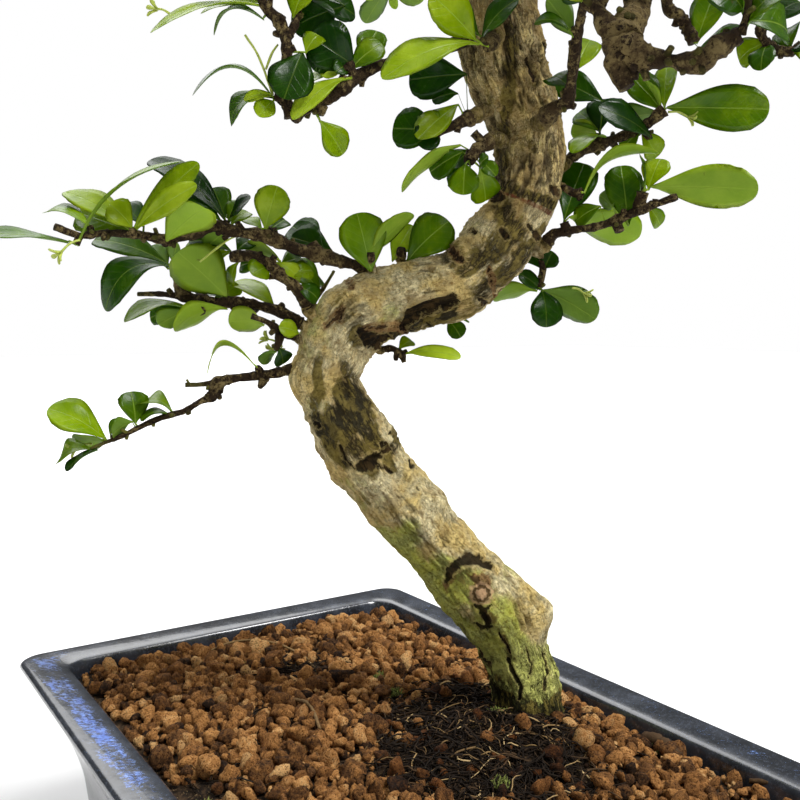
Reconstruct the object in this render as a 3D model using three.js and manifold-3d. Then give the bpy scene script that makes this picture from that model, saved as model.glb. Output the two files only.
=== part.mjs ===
// Fukien tea bonsai in a glazed rectangular pot.
// Lengths are in millimetres, +Z is up, +X runs along the long side of the pot and +Y to its back.
// The origin lies on the ground, below the middle of the pot.
import * as THREE from "three";
import { mergeVertices } from "three/addons/utils/BufferGeometryUtils.js";
import Module from "manifold-3d";

const wasm = await Module();
wasm.setup();
const { Manifold, Mesh: SolidMesh } = wasm;

// Driving dimensions of the pot, its drainage and the soil.
const POT_LENGTH = 300;
const POT_WIDTH = 200;
const POT_HEIGHT = 85;
const POT_CORNER_RADIUS = 9;
const POT_CORNER_STEPS = 4;
const POT_WAIST_HEIGHT = 45;
const RIM_WIDTH = 18;
const FOOT_HEIGHT = 6;
const FOOT_LENGTH = 34;
const FOOT_WIDTH = 22;
const FOOT_INSET = 34;
const FOOT_SUNK = 1;
const FLOOR_THICKNESS = 8;
const DRAIN_RADIUS = 8;
const DRAIN_OFFSET = 70;
const DRAIN_SIDES = 20;
const SCREEN_SIZE = 28;
const SCREEN_THICKNESS = 1.2;
const SCREEN_HOLES = 2;
const SCREEN_HOLE_SIZE = 7;
const SCREEN_PITCH = 11.2;
const SEAT_GAP = 0.3;

const SOIL_EDGE_HEIGHT = 77;
const SOIL_MOUND = 6;
const SOIL_COLUMNS = 28;
const SOIL_ROWS = 18;
const GRAIN_RELIEF = 2.6;
const GRAIN_JITTER = 1.3;
const GRAIN_SEED = 4117;

// The tree is laid out as it is seen: right, away from the viewer and up. This turn sets it in the pot.
const TREE_TURN = 56.05;
const TRUNK_SIDES = 12;
const STEM_SIDES = 5;
const TWIG_SIDES = 4;
const COLLAR_SIDES = 4;
const COLLAR_LENGTH = 1.2;
const COLLAR_SPREAD = 1.35;
const SHOULDER_SPREAD = 1.15;

// Each blade's sections: how far along the blade, and half its width there as a share of the width.
const BLADE_SECTIONS = [
  [0.36, 0.33],
  [0.74, 0.5],
  [1.0, 0.24],
];
const BLADE_KEEL = 0.5;
const BLADE_FOLD = 0.12;
const BLADE_WAVE = 0.12;
const BLADE_WAVE_RATE = 7;
const BLADE_PHASE_STEP = 2.4;
const PETIOLE_RADIUS = 0.55;

// Side shoots: where along the stem they start, which way they go and how far, and their radii.
const SHOOT_START = 0.3;
const SHOOT_FORWARD = 0.7;
const SHOOT_LEAN = 0.9;
const SHOOT_LIFT = [0.25, 0.5];
const SHOOT_REACH = [0.7, 0.6];
const SHOOT_RADII = [1.1, 0.8];

// The whorl of blades that ends a shoot. A pair is the least value and how much a random draw adds.
const WHORL_BLADES = 4;
const WHORL_SPACING = 1.2;
const WHORL_TILT = [26, 10];
const WHORL_TILT_STEP = 13;
const WHORL_LENGTH = [21, 8];
const WHORL_ARCH = [1.5, 2];
const WHORL_WIDTH_SHARE = 0.44;
const MERGE_TOLERANCE = 0.04;
const GOLDEN_ANGLE = THREE.MathUtils.degToRad(137.5);

// Stations of the trunk: right, away, up and radius.
const TRUNK_STATIONS = [
  [55, 15, 64, 12.6], [54, 15, 74, 12.8], [52, 15, 88, 13], [48, 15, 105, 12.8], [38, 14, 125, 14.8],
  [20, 12, 146, 12.7], [4, 10, 165, 13.3], [-8, 9, 180, 13.4], [-16, 8, 193, 13.2],
  [-21, 8, 204, 11.3], [-24, 8, 211, 11.3], [-22, 9, 218, 12], [-19, 10, 226, 13.1],
  [-12, 12, 234, 13.9], [-2, 14, 239, 13.1], [10, 16, 243, 13.3], [24, 17, 246, 12.6],
  [34, 17, 254, 12.2], [40, 16, 262, 13.6], [46, 15, 271, 12.5], [49, 14, 280, 12.8],
  [50, 13, 293, 13], [49, 12, 302, 13.2], [45, 10, 312, 13.9], [41, 8, 321, 14.5], [38, 6, 333, 14.9],
  [35, 4, 344, 15.3], [33, 3, 358, 14.2], [36, 5, 373, 12.2], [43, 8, 389, 9.8], [50, 9, 404, 7.6],
  [52, 7, 419, 5.6], [49, 4, 434, 3.8], [47, 3, 446, 2.4],
];

// Knobs, burls and old cuts on the trunk: right, away, up, height of the swelling and its spread.
const TRUNK_KNOBS = [
  [59, 12, 122, 2.6, 5],
  [36, 1, 132, 1.8, 4],
  [33, 0, 143, 1.2, 4],
  [19, 1, 168, 2.0, 5],
  [8, -1, 163, 1.4, 4],
  [-12, -2, 242, 1.6, 4],
  [-18, -2, 231, 1.6, 4],
  [24, 8, 259, 1.6, 4],
  [46, -4, 318, 1.4, 4],
  [53, -2, 326, 1.6, 4],
  [-26, 0, 196, 1.5, 5],
  [28, 15, 96, 1.5, 5],
  [22, 26, 243, 2.0, 6],
  [56, 24, 300, 2.2, 6],
  [2, 22, 170, 2.0, 6],
];

// Each branch: its stem and side twigs as stations, its leaves, or how many sprays grow along it.
// A leaf is its foot, its tip, its width, its turn about its own length in degrees and how far it arches.
// Sprays are their number, their reach and the seed of their random draw.
const BRANCHES = {
  lower_left: {
    stem: [
      [-36, 6, 215, 2], [-40, 3, 214, 1.9], [-46, 1, 213, 1.8], [-56, -1, 212, 1.5],
      [-61, -2, 210, 2.7], [-63, -3, 206, 1.9], [-67, -4, 204, 1.2], [-72, -6, 201, 1.1],
      [-79, -8, 199, 1], [-86, -10, 196, 1], [-92, -12, 193, 1], [-97, -14, 191, 0.8],
      [-102, -15, 189, 0.5],
    ],
    twigs: [
      [[-61, -2, 211, 1.1], [-67, -3, 210, 0.8], [-72, -4, 210, 0.8]],
      [[-46, 1, 214, 1.4], [-47, -1, 216, 1.1]],
      [[-45, 1, 212, 2], [-46, -2, 209, 1.2]],
    ],
    leaves: [
      [-97, -14, 192, -115, -18, 203, 15, -40, 2], [-96, -13, 193, -94, -12, 199, 3, 55, 1],
      [-88, -10, 197, -90, -8, 208, 11, 5, 1], [-76, -7, 201, -89, -3, 202, 11, -15, 4],
      [-77, -7, 200, -86, -11, 198, 10, -10, 2], [-89, -11, 198, -94, -17, 194, 9, 65, 1],
      [-98, -14, 192, -110, -5, 188, 11, 35, 1], [-100, -15, 189, -109, -20, 182, 8, -5, 1],
      [-102, -15, 189, -115, -10, 184, 10, -45, 3], [-48, -1, 217, -63, -9, 214, 11, 50, 10],
    ],
  },
  middle_left: {
    stem: [
      [-33, 4, 232, 2.1], [-40, 2, 236, 2], [-48, 2, 238, 1.8], [-55, 2, 239, 1.9],
      [-63, 3, 239, 1.9], [-68, 4, 240, 2.1], [-74, 5, 241, 1.9], [-82, 6, 242, 1],
      [-91, 7, 242, 0.8],
    ],
    twigs: [
      [[-74, 5, 241, 2.7], [-75, 6, 246, 2.5], [-77, 7, 250, 1.8]],
      [[-68, 4, 239, 2.1], [-68, 1, 236, 2.3]],
      [[-40, 2, 236, 1.4], [-38, 0, 238, 1.1]],
    ],
    leaves: [
      [-79, 7, 252, -100, -2, 236, 13.5, -50, 11], [-80, 7, 253, -109, 15, 262, 12, -45, 3],
      [-58, 2, 241, -73, -7, 256, 15, 55, 1], [-58, 2, 240, -70, 11, 243, 9, -15, 1],
      [-41, 2, 237, -59, 14, 246, 12, -20, 3], [-71, 1, 237, -92, -7, 232, 11, -20, 4],
      [-72, 1, 236, -83, 4, 231, 10, 40, 1], [-58, 2, 237, -76, -2, 229, 13, 35, 3],
      [-78, 7, 253, -78, 14, 261, 6, -125, 1],
    ],
  },
  inner_left: {
    stem: [
      [-30, 2, 238, 2.1], [-33, -1, 244, 2.2], [-39, -3, 249, 2.3], [-42, -3, 252, 1.9],
      [-48, -1, 255, 2.1], [-56, 1, 255, 2.1],
    ],
    twigs: [
      [[-42, -3, 252, 1.4], [-40, -3, 255, 1]],
    ],
    leaves: [
      [-56, 1, 257, -70, -3, 260, 10, -50, 2], [-38, -3, 253, -52, 6, 258, 9, 50, 2],
      [-38, -3, 252, -32, 11, 255, 8, 40, 1], [-43, -3, 251, -47, -10, 248, 9, -55, 1],
      [-54, 1, 253, -57, 5, 245, 7, -110, 1], [-54, 1, 257, -50, 6, 261, 8, 40, 1],
    ],
  },
  bend_twig: {
    stem: [
      [-28, 17, 240, 1], [-24, 18, 246, 0.7], [-21, 19, 251, 0.5],
    ],
    twigs: [
    ],
    leaves: [
      [-26, 17, 242, -38, 18, 254, 11, -55, 3], [-24, 18, 245, -33, 24, 249, 7, 65, 1],
      [-27, 17, 241, -34, 25, 245, 7, 65, 1],
    ],
  },
  long_left: {
    stem: [
      [-11, 13, 252, 2.3], [-14, 11, 253, 2.3], [-19, 7, 254, 2.3], [-26, 4, 256, 2.9],
      [-34, 0, 258, 1.9], [-41, -4, 261, 2.8], [-47, -7, 262, 2.1], [-55, -11, 263, 2],
      [-59, -14, 264, 1.9], [-64, -17, 262, 2.1], [-72, -22, 259, 1.6], [-81, -27, 260, 1.4],
      [-89, -32, 260, 1.2], [-95, -36, 259, 1.2], [-97, -38, 259, 1.1], [-102, -42, 261, 1],
    ],
    twigs: [
      [[-96, -37, 259, 1.2], [-97, -38, 256, 1.4]],
      [[-93, -34, 259, 1.1], [-94, -34, 262, 1.1]],
      [[-82, -28, 260, 1.3], [-82, -29, 262, 1]],
      [[-73, -22, 259, 1.6], [-73, -24, 257, 1.2]],
      [[-42, -4, 261, 2.4], [-42, -6, 264, 1.7]],
      [[-55, -11, 263, 1.7], [-56, -10, 266, 1.2]],
      [[-26, 4, 256, 2.8], [-28, 4, 260, 1.8]],
    ],
    leaves: [
      [-99, -39, 257, -124, -49, 258, 10, -20, 1], [-97, -38, 256, -64, -34, 282, 9, 25, 5],
      [-94, -34, 262, -110, -28, 267, 9, -25, 3], [-82, -29, 261, -105, -24, 274, 12, -30, 2],
      [-83, -29, 261, -103, -18, 268, 14, -60, 1], [-82, -29, 262, -88, -33, 269, 10, -75, 1],
      [-82, -29, 261, -60, -31, 282, 13, 55, 2], [-81, -29, 261, -59, -38, 274, 12, 55, 2],
      [-73, -23, 258, -58, -31, 268, 14, -30, 2], [-56, -10, 267, -83, -2, 288, 14, -40, 7],
      [-56, -10, 267, -61, -5, 278, 10, -30, 1], [-57, -10, 266, -71, -14, 272, 11, -45, 2],
      [-55, -10, 266, -46, -17, 273, 8, 55, 1], [-54, -10, 265, -49, -3, 270, 7, 35, 1],
      [-44, -6, 264, -52, 0, 268, 7, -20, 1], [-43, -6, 264, -38, -9, 278, 10.5, 120, 1],
      [-42, -5, 263, -37, 3, 268, 8, 35, 1], [-24, 5, 258, -36, 15, 267, 14, -50, 1],
      [-55, -11, 263, -64, -2, 258, 8, 25, 1],
    ],
  },
  bend_spurs: {
    stem: [
      [-7, 7, 255, 1.6], [-7, 6, 257, 1.4],
    ],
    twigs: [
    ],
    leaves: [
      [-8, 7, 255, -12, 5, 271, 15.5, -110, 1], [-7, 7, 255, 8, 2, 270, 11.5, -20, 2],
    ],
  },
  bend_shoot: {
    stem: [
      [4, 15, 257, 1.8], [4, 14, 259, 1.6],
    ],
    twigs: [
    ],
    leaves: [
      [1, 14, 258, 8, 19, 268, 11, 35, 1], [6, 14, 258, 22, 15, 269, 15, -65, 3],
      [7, 15, 258, 18, 24, 261, 9, 15, 2],
    ],
  },
  small_left: {
    stem: [
      [-35, 2, 227, 1.6], [-39, -1, 229, 1.6], [-43, -4, 232, 1], [-48, -6, 234, 0.9],
    ],
    twigs: [
      [[-39, -1, 228, 1.8], [-39, -3, 225, 1.4], [-40, -4, 222, 0.8]],
    ],
    leaves: [
      [-44, -4, 231, -57, -1, 232, 12, 55, 2], [-35, 2, 228, -37, -4, 231, 6, -100, 1],
      [-39, -4, 223, -38, -1, 217, 8, 120, 1], [-40, -4, 222, -45, -2, 217, 7, 25, 1],
    ],
  },
  upper_left: {
    stem: [
      [25, -2, 328, 2.1], [17, -6, 324, 2], [10, -10, 322, 2], [4, -14, 319, 1.9], [0, -16, 317, 1.8],
      [-6, -19, 314, 1.8], [-11, -22, 310, 2.2], [-17, -25, 305, 2], [-22, -27, 302, 2.5],
      [-27, -29, 299, 2], [-30, -31, 296, 2.5],
    ],
    twigs: [
      [
        [-31, -31, 296, 2.2], [-32, -31, 300, 1.8], [-34, -31, 303, 1.6], [-32, -31, 314, 1.6],
        [-32, -31, 319, 1.9], [-34, -31, 325, 2.1], [-38, -32, 329, 1.7], [-41, -33, 335, 0.9],
        [-46, -33, 341, 0.6],
      ],
      [[-22, -27, 301, 2.5], [-23, -27, 298, 2.2]],
      [[-11, -22, 310, 1.9], [-13, -22, 315, 1.6]],
      [[-32, -31, 301, 1.3], [-36, -32, 302, 0.9]],
      [[-32, -31, 320, 1.6], [-29, -29, 326, 1.1], [-27, -26, 335, 0.8], [-23, -24, 341, 0.6]],
    ],
    leaves: [
      [-27, -31, 316, -32, -38, 300, 13, -45, 1], [-11, -22, 314, -25, -27, 322, 17, -95, 1],
      [-9, -20, 315, -4, -16, 327, 10, 45, 1], [-14, -25, 332, -31, -23, 326, 12, -85, 1],
      [-36, -32, 302, -60, -38, 301, 12, -30, 7], [-36, -32, 302, -50, -29, 294, 10, -50, 5],
      [-36, -32, 301, -40, -37, 295, 7, -50, 1], [-22, -27, 296, -15, -23, 286, 11, 90, 1],
      [-12, -22, 311, -30, -32, 295, 11, -30, 3], [-15, -22, 312, -28, -18, 307, 10, -50, 3],
      [-14, -22, 316, -25, -17, 317, 8, -35, 2], [-14, -22, 314, -17, -27, 311, 6, -55, 1],
      [-39, -32, 326, -55, -28, 322, 12, -55, 4], [-39, -32, 330, -72, -40, 319, 12, -40, 4],
      [-39, -32, 331, -60, -24, 330, 10, -50, 2], [-30, -29, 327, -26, -26, 337, 9, 35, 1],
      [-26, -31, 316, -22, -28, 322, 8, 50, 1], [-27, -26, 334, -11, -19, 331, 12, 65, 2],
      [-25, -25, 338, -16, -29, 344, 13, 80, 2], [-27, -26, 335, -35, -29, 343, 12, -80, 2],
      [-43, -33, 339, -52, -31, 347, 12, -40, 2], [-45, -33, 340, -38, -36, 348, 12, 85, 2],
      [-43, -33, 337, -56, -36, 337, 12, -50, 3],
    ],
  },
  front_knob: {
    stem: [
      [34, -14, 325, 3], [32, -20, 321, 2.3],
    ],
    twigs: [
    ],
    leaves: [
      [29, -20, 322, -2, -34, 307, 13, -45, 4], [28, -20, 323, 13, -30, 334, 14.5, -100, 1],
      [30, -18, 324, 41, -26, 334, 10, 75, 2], [29, -19, 325, 17, -15, 335, 12, -75, 1],
    ],
  },
  left_stub: {
    stem: [
      [27, -1, 302, 2.8], [22, -5, 299, 1.7], [17, -9, 296, 1.4], [14, -11, 294, 1.2],
    ],
    twigs: [
    ],
    leaves: [
      [23, -2, 307, 14, -16, 297, 8, -5, 1], [17, -9, 296, 1, -5, 298, 14, -80, 1],
      [17, -9, 296, 9, -15, 291, 10, -60, 1], [17, -8, 300, 6, 0, 313, 17, 95, 1],
    ],
  },
  left_spur: {
    stem: [
      [34, 0, 294, 2.6], [30, -3, 291, 2.3], [27, -6, 287, 2.2],
    ],
    twigs: [
      [[32, -2, 294, 1.7], [29, -3, 297, 1.7]],
    ],
    leaves: [
      [24, -3, 293, 4, -13, 276, 10.5, 40, 2], [25, -6, 290, 14, 0, 284, 11, -85, 1],
      [26, -6, 286, 25, -9, 275, 11, 0, 1], [31, -5, 285, 33, -14, 287, 5, 95, 1],
      [31, -5, 285, 34, 7, 275, 11, 145, 1], [28, -4, 291, 22, 5, 286, 9, -100, 1],
    ],
  },
  right_lower: {
    stem: [
      [58, 15, 262, 2.4], [60, 13, 264, 2], [66, 10, 265, 1.4], [74, 6, 266, 1.4], [80, 4, 268, 1.8],
      [85, 1, 270, 1.6], [93, -2, 273, 1.3], [99, -5, 275, 1.3],
    ],
    twigs: [
      [[64, 11, 265, 1.7], [63, 11, 268, 1.7]],
      [[87, 1, 271, 2], [88, -1, 277, 2.3]],
      [[80, 4, 268, 1.8], [81, 2, 264, 2]],
    ],
    leaves: [
      [63, 11, 269, 72, 23, 291, 14, 25, 1], [84, 2, 266, 83, 10, 288, 13, -20, 1],
      [65, 11, 270, 94, 25, 264, 15, -45, 2], [79, 3, 272, 76, 13, 278, 7, 90, 1],
      [90, -1, 278, 95, 2, 289, 10, 30, 1], [89, -1, 279, 88, 4, 291, 9, 65, 1],
      [91, -1, 279, 123, -15, 276, 15.5, -70, 2],
    ],
  },
  trunk_spur_right: {
    stem: [
      [63, 10, 280, 1.2], [66, 8, 278, 1.6], [68, 6, 278, 1.8],
    ],
    twigs: [
    ],
    leaves: [
      [69, 6, 278, 93, -3, 290, 11, -20, 8],
    ],
  },
  right_upper: {
    stem: [
      [65, 17, 291, 2.2], [70, 19, 295, 2.3], [76, 20, 297, 2.4], [82, 20, 299, 2.1],
      [92, 19, 303, 1.9], [100, 17, 309, 2.3],
    ],
    twigs: [
      [[76, 20, 297, 1.8], [77, 19, 301, 1.5]],
      [[92, 18, 303, 1.6], [95, 17, 299, 1.1]],
    ],
    leaves: [
      [101, 17, 310, 136, 11, 308, 17, 95, 1], [99, 17, 309, 88, 21, 323, 12, -70, 1],
      [99, 17, 310, 89, 11, 320, 8, -25, 1], [100, 17, 310, 103, 26, 327, 9, -10, 1],
      [99, 17, 308, 86, 31, 308, 11, 35, 1.5], [96, 17, 299, 74, 8, 308, 12, -70, 2],
      [92, 18, 302, 99, 22, 293, 10, 105, 1], [80, 20, 300, 65, 8, 292, 10, -10, 3],
      [76, 19, 301, 68, 28, 303, 10, 60, 2], [77, 19, 302, 80, 25, 315, 12, -5, 1],
      [77, 19, 302, 71, 29, 311, 10, -50, 1],
    ],
  },
  front_twig: {
    stem: [
      [53, -8, 301, 3], [54, -14, 302, 2.7], [57, -19, 303, 2.2], [58, -22, 304, 1.9],
      [58, -27, 309, 1.7], [58, -31, 315, 1.9], [58, -36, 320, 1.7], [58, -41, 324, 1.4],
      [58, -46, 328, 1.2], [59, -52, 333, 0.9],
    ],
    twigs: [
      [[58, -31, 315, 1.6], [57, -33, 319, 1.2]],
    ],
    leaves: [
      [59, -28, 311, 65, -20, 323, 10, 30, 1], [58, -24, 307, 54, -14, 313, 10, -35, 1],
      [55, -37, 321, 45, -34, 324, 8, -45, 2], [58, -44, 327, 50, -49, 331, 10, -100, 1],
      [58, -46, 329, 67, -42, 336, 11, 45, 2], [58, -51, 332, 52, -55, 339, 12, -90, 2],
      [59, -52, 333, 63, -49, 343, 12, 10, 2], [57, -36, 319, 49, -32, 332, 9, 65, 1],
    ],
  },
  behind_bend: {
    stem: [
      [57, 21, 254, 1.5], [57, 22, 250, 1.2], [56, 22, 245, 1.2],
    ],
    twigs: [
    ],
    leaves: [
      [57, 22, 244, 58, 17, 230, 11, 5, 2], [57, 22, 244, 78, 25, 233, 13, -50, 2],
      [55, 22, 244, 39, 25, 240, 10, 30, 2], [58, 21, 252, 60, 17, 258, 7, 125, 1],
    ],
  },
  under_bend: {
    stem: [
      [-2, 15, 222, 1.5], [1, 15, 222, 1.4], [4, 15, 220, 1.5], [5, 15, 217, 0.9],
    ],
    twigs: [
    ],
    leaves: [
      [5, 15, 220, 26, 10, 220, 8, 10, 2], [3, 15, 222, 8, 20, 225, 6, 40, 1],
    ],
  },
  under_leaf: {
    stem: [
      [20, 29, 236, 1.3], [22, 31, 233, 1.1],
    ],
    twigs: [
    ],
    leaves: [
      [22, 31, 233, 27, 29, 226, 8, 50, 1], [21, 31, 234, 30, 40, 233, 8, 35, 1],
    ],
  },
  front_crown: {
    stem: [
      [44, -13, 353, 5.2], [50, -30, 352, 4.8], [58, -52, 346, 4.4], [64, -74, 337, 4.2],
      [63, -88, 312, 3.3], [60, -92, 305, 4.2], [58, -94, 300, 4.7], [62, -97, 296, 3.6],
      [65, -99, 295, 2.4], [69, -101, 294, 1.8], [74, -104, 293, 3.1], [78, -106, 296, 2.8],
      [82, -108, 298, 1.6],
    ],
    twigs: [
      [[57, -94, 300, 3.9], [57, -95, 294, 2.9], [59, -96, 289, 2]],
      [[58, -94, 301, 3.7], [54, -93, 305, 2.5], [52, -92, 309, 2], [49, -91, 311, 1.7]],
      [[63, -88, 311, 3], [65, -92, 315, 2], [65, -94, 320, 1.5]],
      [[82, -108, 298, 1.2], [83, -109, 303, 0.9], [83, -110, 309, 0.8]],
    ],
    leaves: [
      [83, -108, 300, 95, -116, 306, 13, 50, 3], [83, -108, 301, 96, -100, 301, 10, 75, 2],
      [83, -110, 309, 89, -116, 314, 13, 80, 2], [83, -110, 309, 78, -104, 320, 13, -35, 2],
      [83, -110, 309, 84, -112, 320, 12, 105, 2], [65, -94, 319, 57, -98, 325, 12, -90, 2],
      [66, -94, 320, 76, -89, 328, 12, 45, 2], [65, -94, 320, 65, -92, 331, 12, 5, 2],
      [49, -91, 311, 44, -95, 316, 11, -95, 2], [82, -109, 303, 71, -115, 306, 11, -85, 2],
    ],
  },
  crown_right: {
    stem: [
      [55, 6, 380, 4.6], [74, 11, 388, 4], [94, 14, 388, 3.4], [113, 12, 381, 2.8],
      [124, 8, 374, 2.1], [130, 5, 367, 1.5],
    ],
    twigs: [
      [
        [98, 14, 387, 2.2], [101, 12, 368, 2], [98, 10, 345, 2.1], [102, 9, 340, 2.1], [105, 8, 335, 2],
        [107, 7, 330, 2.3],
      ],
      [
        [124, 9, 375, 2], [133, 4, 353, 1.8], [128, 1, 335, 1.6], [130, -1, 327, 1.7],
        [136, -3, 324, 1.7], [140, -4, 326, 1.4],
      ],
    ],
    leaves: [
      [108, 7, 330, 116, 12, 350, 13, 30, 1], [109, 7, 328, 122, 2, 334, 8, 40, 1],
      [130, -1, 328, 123, 7, 324, 11, -85, 2], [137, -3, 325, 139, 2, 334, 12, -35, 2],
      [129, 1, 335, 121, -3, 343, 12, -110, 2], [129, 1, 334, 144, 7, 344, 13, 45, 2],
      [140, -4, 326, 140, -18, 324, 12, 55, 2], [140, -4, 326, 141, -12, 316, 12, 0, 2],
      [130, -1, 327, 126, -6, 317, 9, 0, 2],
    ],
    sprays: [2, 9, 84],
  },
  crown_left: {
    stem: [
      [19, -4, 367, 4.4], [4, -9, 379, 4], [-16, -13, 386, 3.4], [-38, -16, 386, 2.6],
      [-58, -17, 380, 1.8],
    ],
    twigs: [
    ],
    leaves: [
    ],
    sprays: [4, 17, 13],
  },
  crown_back: {
    stem: [
      [32, 21, 363, 4.6], [29, 38, 374, 4.2], [22, 58, 382, 3.4], [12, 78, 383, 2.4],
      [4, 94, 378, 1.6],
    ],
    twigs: [
    ],
    leaves: [
    ],
    sprays: [5, 17, 29],
  },
  crown_back_right: {
    stem: [
      [51, 16, 384, 3.8], [62, 31, 396, 3.2], [73, 44, 402, 2.4], [80, 53, 401, 1.6],
    ],
    twigs: [
    ],
    leaves: [
    ],
    sprays: [4, 16, 37],
  },
  crown_front_left: {
    stem: [
      [40, -7, 392, 3.6], [28, -24, 404, 3], [14, -42, 410, 2.2], [2, -58, 408, 1.5],
    ],
    twigs: [
    ],
    leaves: [
    ],
    sprays: [4, 16, 43],
  },
  crown_front_right: {
    stem: [
      [58, 2, 402, 3], [74, -16, 412, 2.4], [90, -34, 414, 1.8], [104, -48, 409, 1.2],
    ],
    twigs: [
    ],
    leaves: [
    ],
    sprays: [4, 16, 53],
  },
  crown_top_left: {
    stem: [
      [40, 12, 428, 2.8], [26, 20, 440, 2.2], [10, 26, 446, 1.4],
    ],
    twigs: [
    ],
    leaves: [
    ],
    sprays: [3, 15, 61],
  },
  apex: {
    stem: [
      [47, 3, 450, 2], [48, 2, 462, 1.5], [52, 0, 474, 1],
    ],
    twigs: [
    ],
    leaves: [
    ],
    sprays: [4, 14, 71],
  },
};

const UP = new THREE.Vector3(0, 0, 1);
const TOWARDS_VIEWER = new THREE.Vector3(0, -1, 0);

// Random draws from 0 to 1 that come out the same each time.
const SEED_SPREAD = 7919;
const RANDOM_FACTOR = 48271;
const RANDOM_MODULUS = 2147483647;

function seededRandom(seed) {
  let state = seed * SEED_SPREAD + 1;
  return () => {
    state = (state * RANDOM_FACTOR) % RANDOM_MODULUS;
    return state / RANDOM_MODULUS;
  };
}

function drawn([least, added], random) {
  return least + added * random();
}

function pointOf(station) {
  return new THREE.Vector3(station[0], station[1], station[2]);
}

// Joins rings of equally many points into one closed surface, capped at both ends.
function loft(rings) {
  const count = rings[0].length;
  const index = [];
  for (let row = 0; row < rings.length - 1; row += 1) {
    for (let side = 0; side < count; side += 1) {
      const near = row * count + side;
      const next = row * count + ((side + 1) % count);
      if (side % 2 === 0) {
        index.push(near, next, near + count, next, next + count, near + count);
      } else {
        index.push(near, next, next + count, near, next + count, near + count);
      }
    }
  }
  const last = (rings.length - 1) * count;
  for (let side = 2; side < count; side += 1) {
    const after = (side + 1) % count;
    index.push(1, after, side, last + 1, last + side, last + after);
  }
  const geometry = new THREE.BufferGeometry();
  geometry.setAttribute(
    "position",
    new THREE.Float32BufferAttribute(rings.flat().flatMap((point) => point.toArray()), 3),
  );
  geometry.setIndex(index);
  return geometry;
}

function solidOf(geometry) {
  const bare = geometry.clone();
  bare.deleteAttribute("normal");
  bare.deleteAttribute("uv");
  const merged = mergeVertices(bare);
  return new Manifold(
    new SolidMesh({
      numProp: 3,
      vertProperties: Float32Array.from(merged.attributes.position.array),
      triVerts: Uint32Array.from(merged.index.array),
    }),
  );
}

// One body from many that reach into each other, with slivers along the joins merged.
// Crossing leaves can close in a tiny hollow, which is filled. A loose piece is an error.
function joined(solids) {
  const shells = Manifold.union(solids).asOriginal().simplify(MERGE_TOLERANCE).decompose();
  const bodies = shells.filter((shell) => shell.volume() > 0);
  if (bodies.length !== 1) {
    throw new Error(`${bodies.length} bodies where one was meant`);
  }
  return bodies[0];
}

function geometryOf(solid) {
  const mesh = solid.getMesh();
  const geometry = new THREE.BufferGeometry();
  geometry.setAttribute("position", new THREE.Float32BufferAttribute(mesh.vertProperties, 3));
  geometry.setIndex(Array.from(mesh.triVerts));
  geometry.computeVertexNormals();
  return geometry;
}

function blockAt(x, y, z, length, width, height) {
  return solidOf(new THREE.BoxGeometry(length, width, height).translate(x, y, z));
}

function ringAround(centre, tangent, reference, radius, sides) {
  const across = reference.clone().addScaledVector(tangent, -reference.dot(tangent)).normalize();
  const beside = new THREE.Vector3().crossVectors(tangent, across);
  return Array.from({ length: sides }, (_, side) => {
    const angle = (2 * Math.PI * side) / sides;
    return centre
      .clone()
      .addScaledVector(across, radius * Math.cos(angle))
      .addScaledVector(beside, radius * Math.sin(angle));
  });
}

// A round rod through stations of place and radius.
function rod(stations, sides, reference) {
  const points = stations.map(pointOf);
  const rings = points.map((point, step) => {
    const before = points[Math.max(step - 1, 0)];
    const after = points[Math.min(step + 1, points.length - 1)];
    const tangent = new THREE.Vector3().subVectors(after, before).normalize();
    return ringAround(point, tangent, reference, stations[step][3], sides);
  });
  return loft(rings);
}

// The main direction that a run of stations follows least, which its rings can be turned from.
function steadyReference(stations) {
  const run = pointOf(stations.at(-1)).sub(pointOf(stations[0]));
  const sizes = run.toArray().map(Math.abs);
  return new THREE.Vector3().setComponent(sizes.indexOf(Math.min(...sizes)), 1);
}

// The pot, a tapered wall under a broad flat rim, on four feet.

function roundedRectangle(inset, height) {
  const halfLength = POT_LENGTH / 2 - inset;
  const halfWidth = POT_WIDTH / 2 - inset;
  const corners = [[1, 1], [-1, 1], [-1, -1], [1, -1]];
  return corners.flatMap(([signX, signY], quarter) =>
    Array.from({ length: POT_CORNER_STEPS + 1 }, (_, step) => {
      const angle = (Math.PI / 2) * (quarter + step / POT_CORNER_STEPS);
      return new THREE.Vector3(
        signX * (halfLength - POT_CORNER_RADIUS) + POT_CORNER_RADIUS * Math.cos(angle),
        signY * (halfWidth - POT_CORNER_RADIUS) + POT_CORNER_RADIUS * Math.sin(angle),
        height,
      );
    }),
  );
}

const FLOOR_HEIGHT = FOOT_HEIGHT + FLOOR_THICKNESS;

// The wall from the outer foot of the body, over the rim and down to the floor inside: inset and height.
// The rows from INNER_WALL_ROW on are the inner wall.
const INNER_WALL_ROW = 9;
const POT_PROFILE = [
  [27, FOOT_HEIGHT],
  [24, FOOT_HEIGHT + 2],
  [22.5, 22],
  [20, POT_WAIST_HEIGHT],
  [2.5, POT_HEIGHT - 6],
  [0, POT_HEIGHT - 3],
  [0.8, POT_HEIGHT - 1],
  [3, POT_HEIGHT],
  [RIM_WIDTH - 2, POT_HEIGHT - 0.6],
  [RIM_WIDTH, POT_HEIGHT - 2.5],
  [RIM_WIDTH + 2, POT_HEIGHT - 12],
  [29, POT_WAIST_HEIGHT],
  [31, FLOOR_HEIGHT + 4],
  [33, FLOOR_HEIGHT],
];

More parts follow.
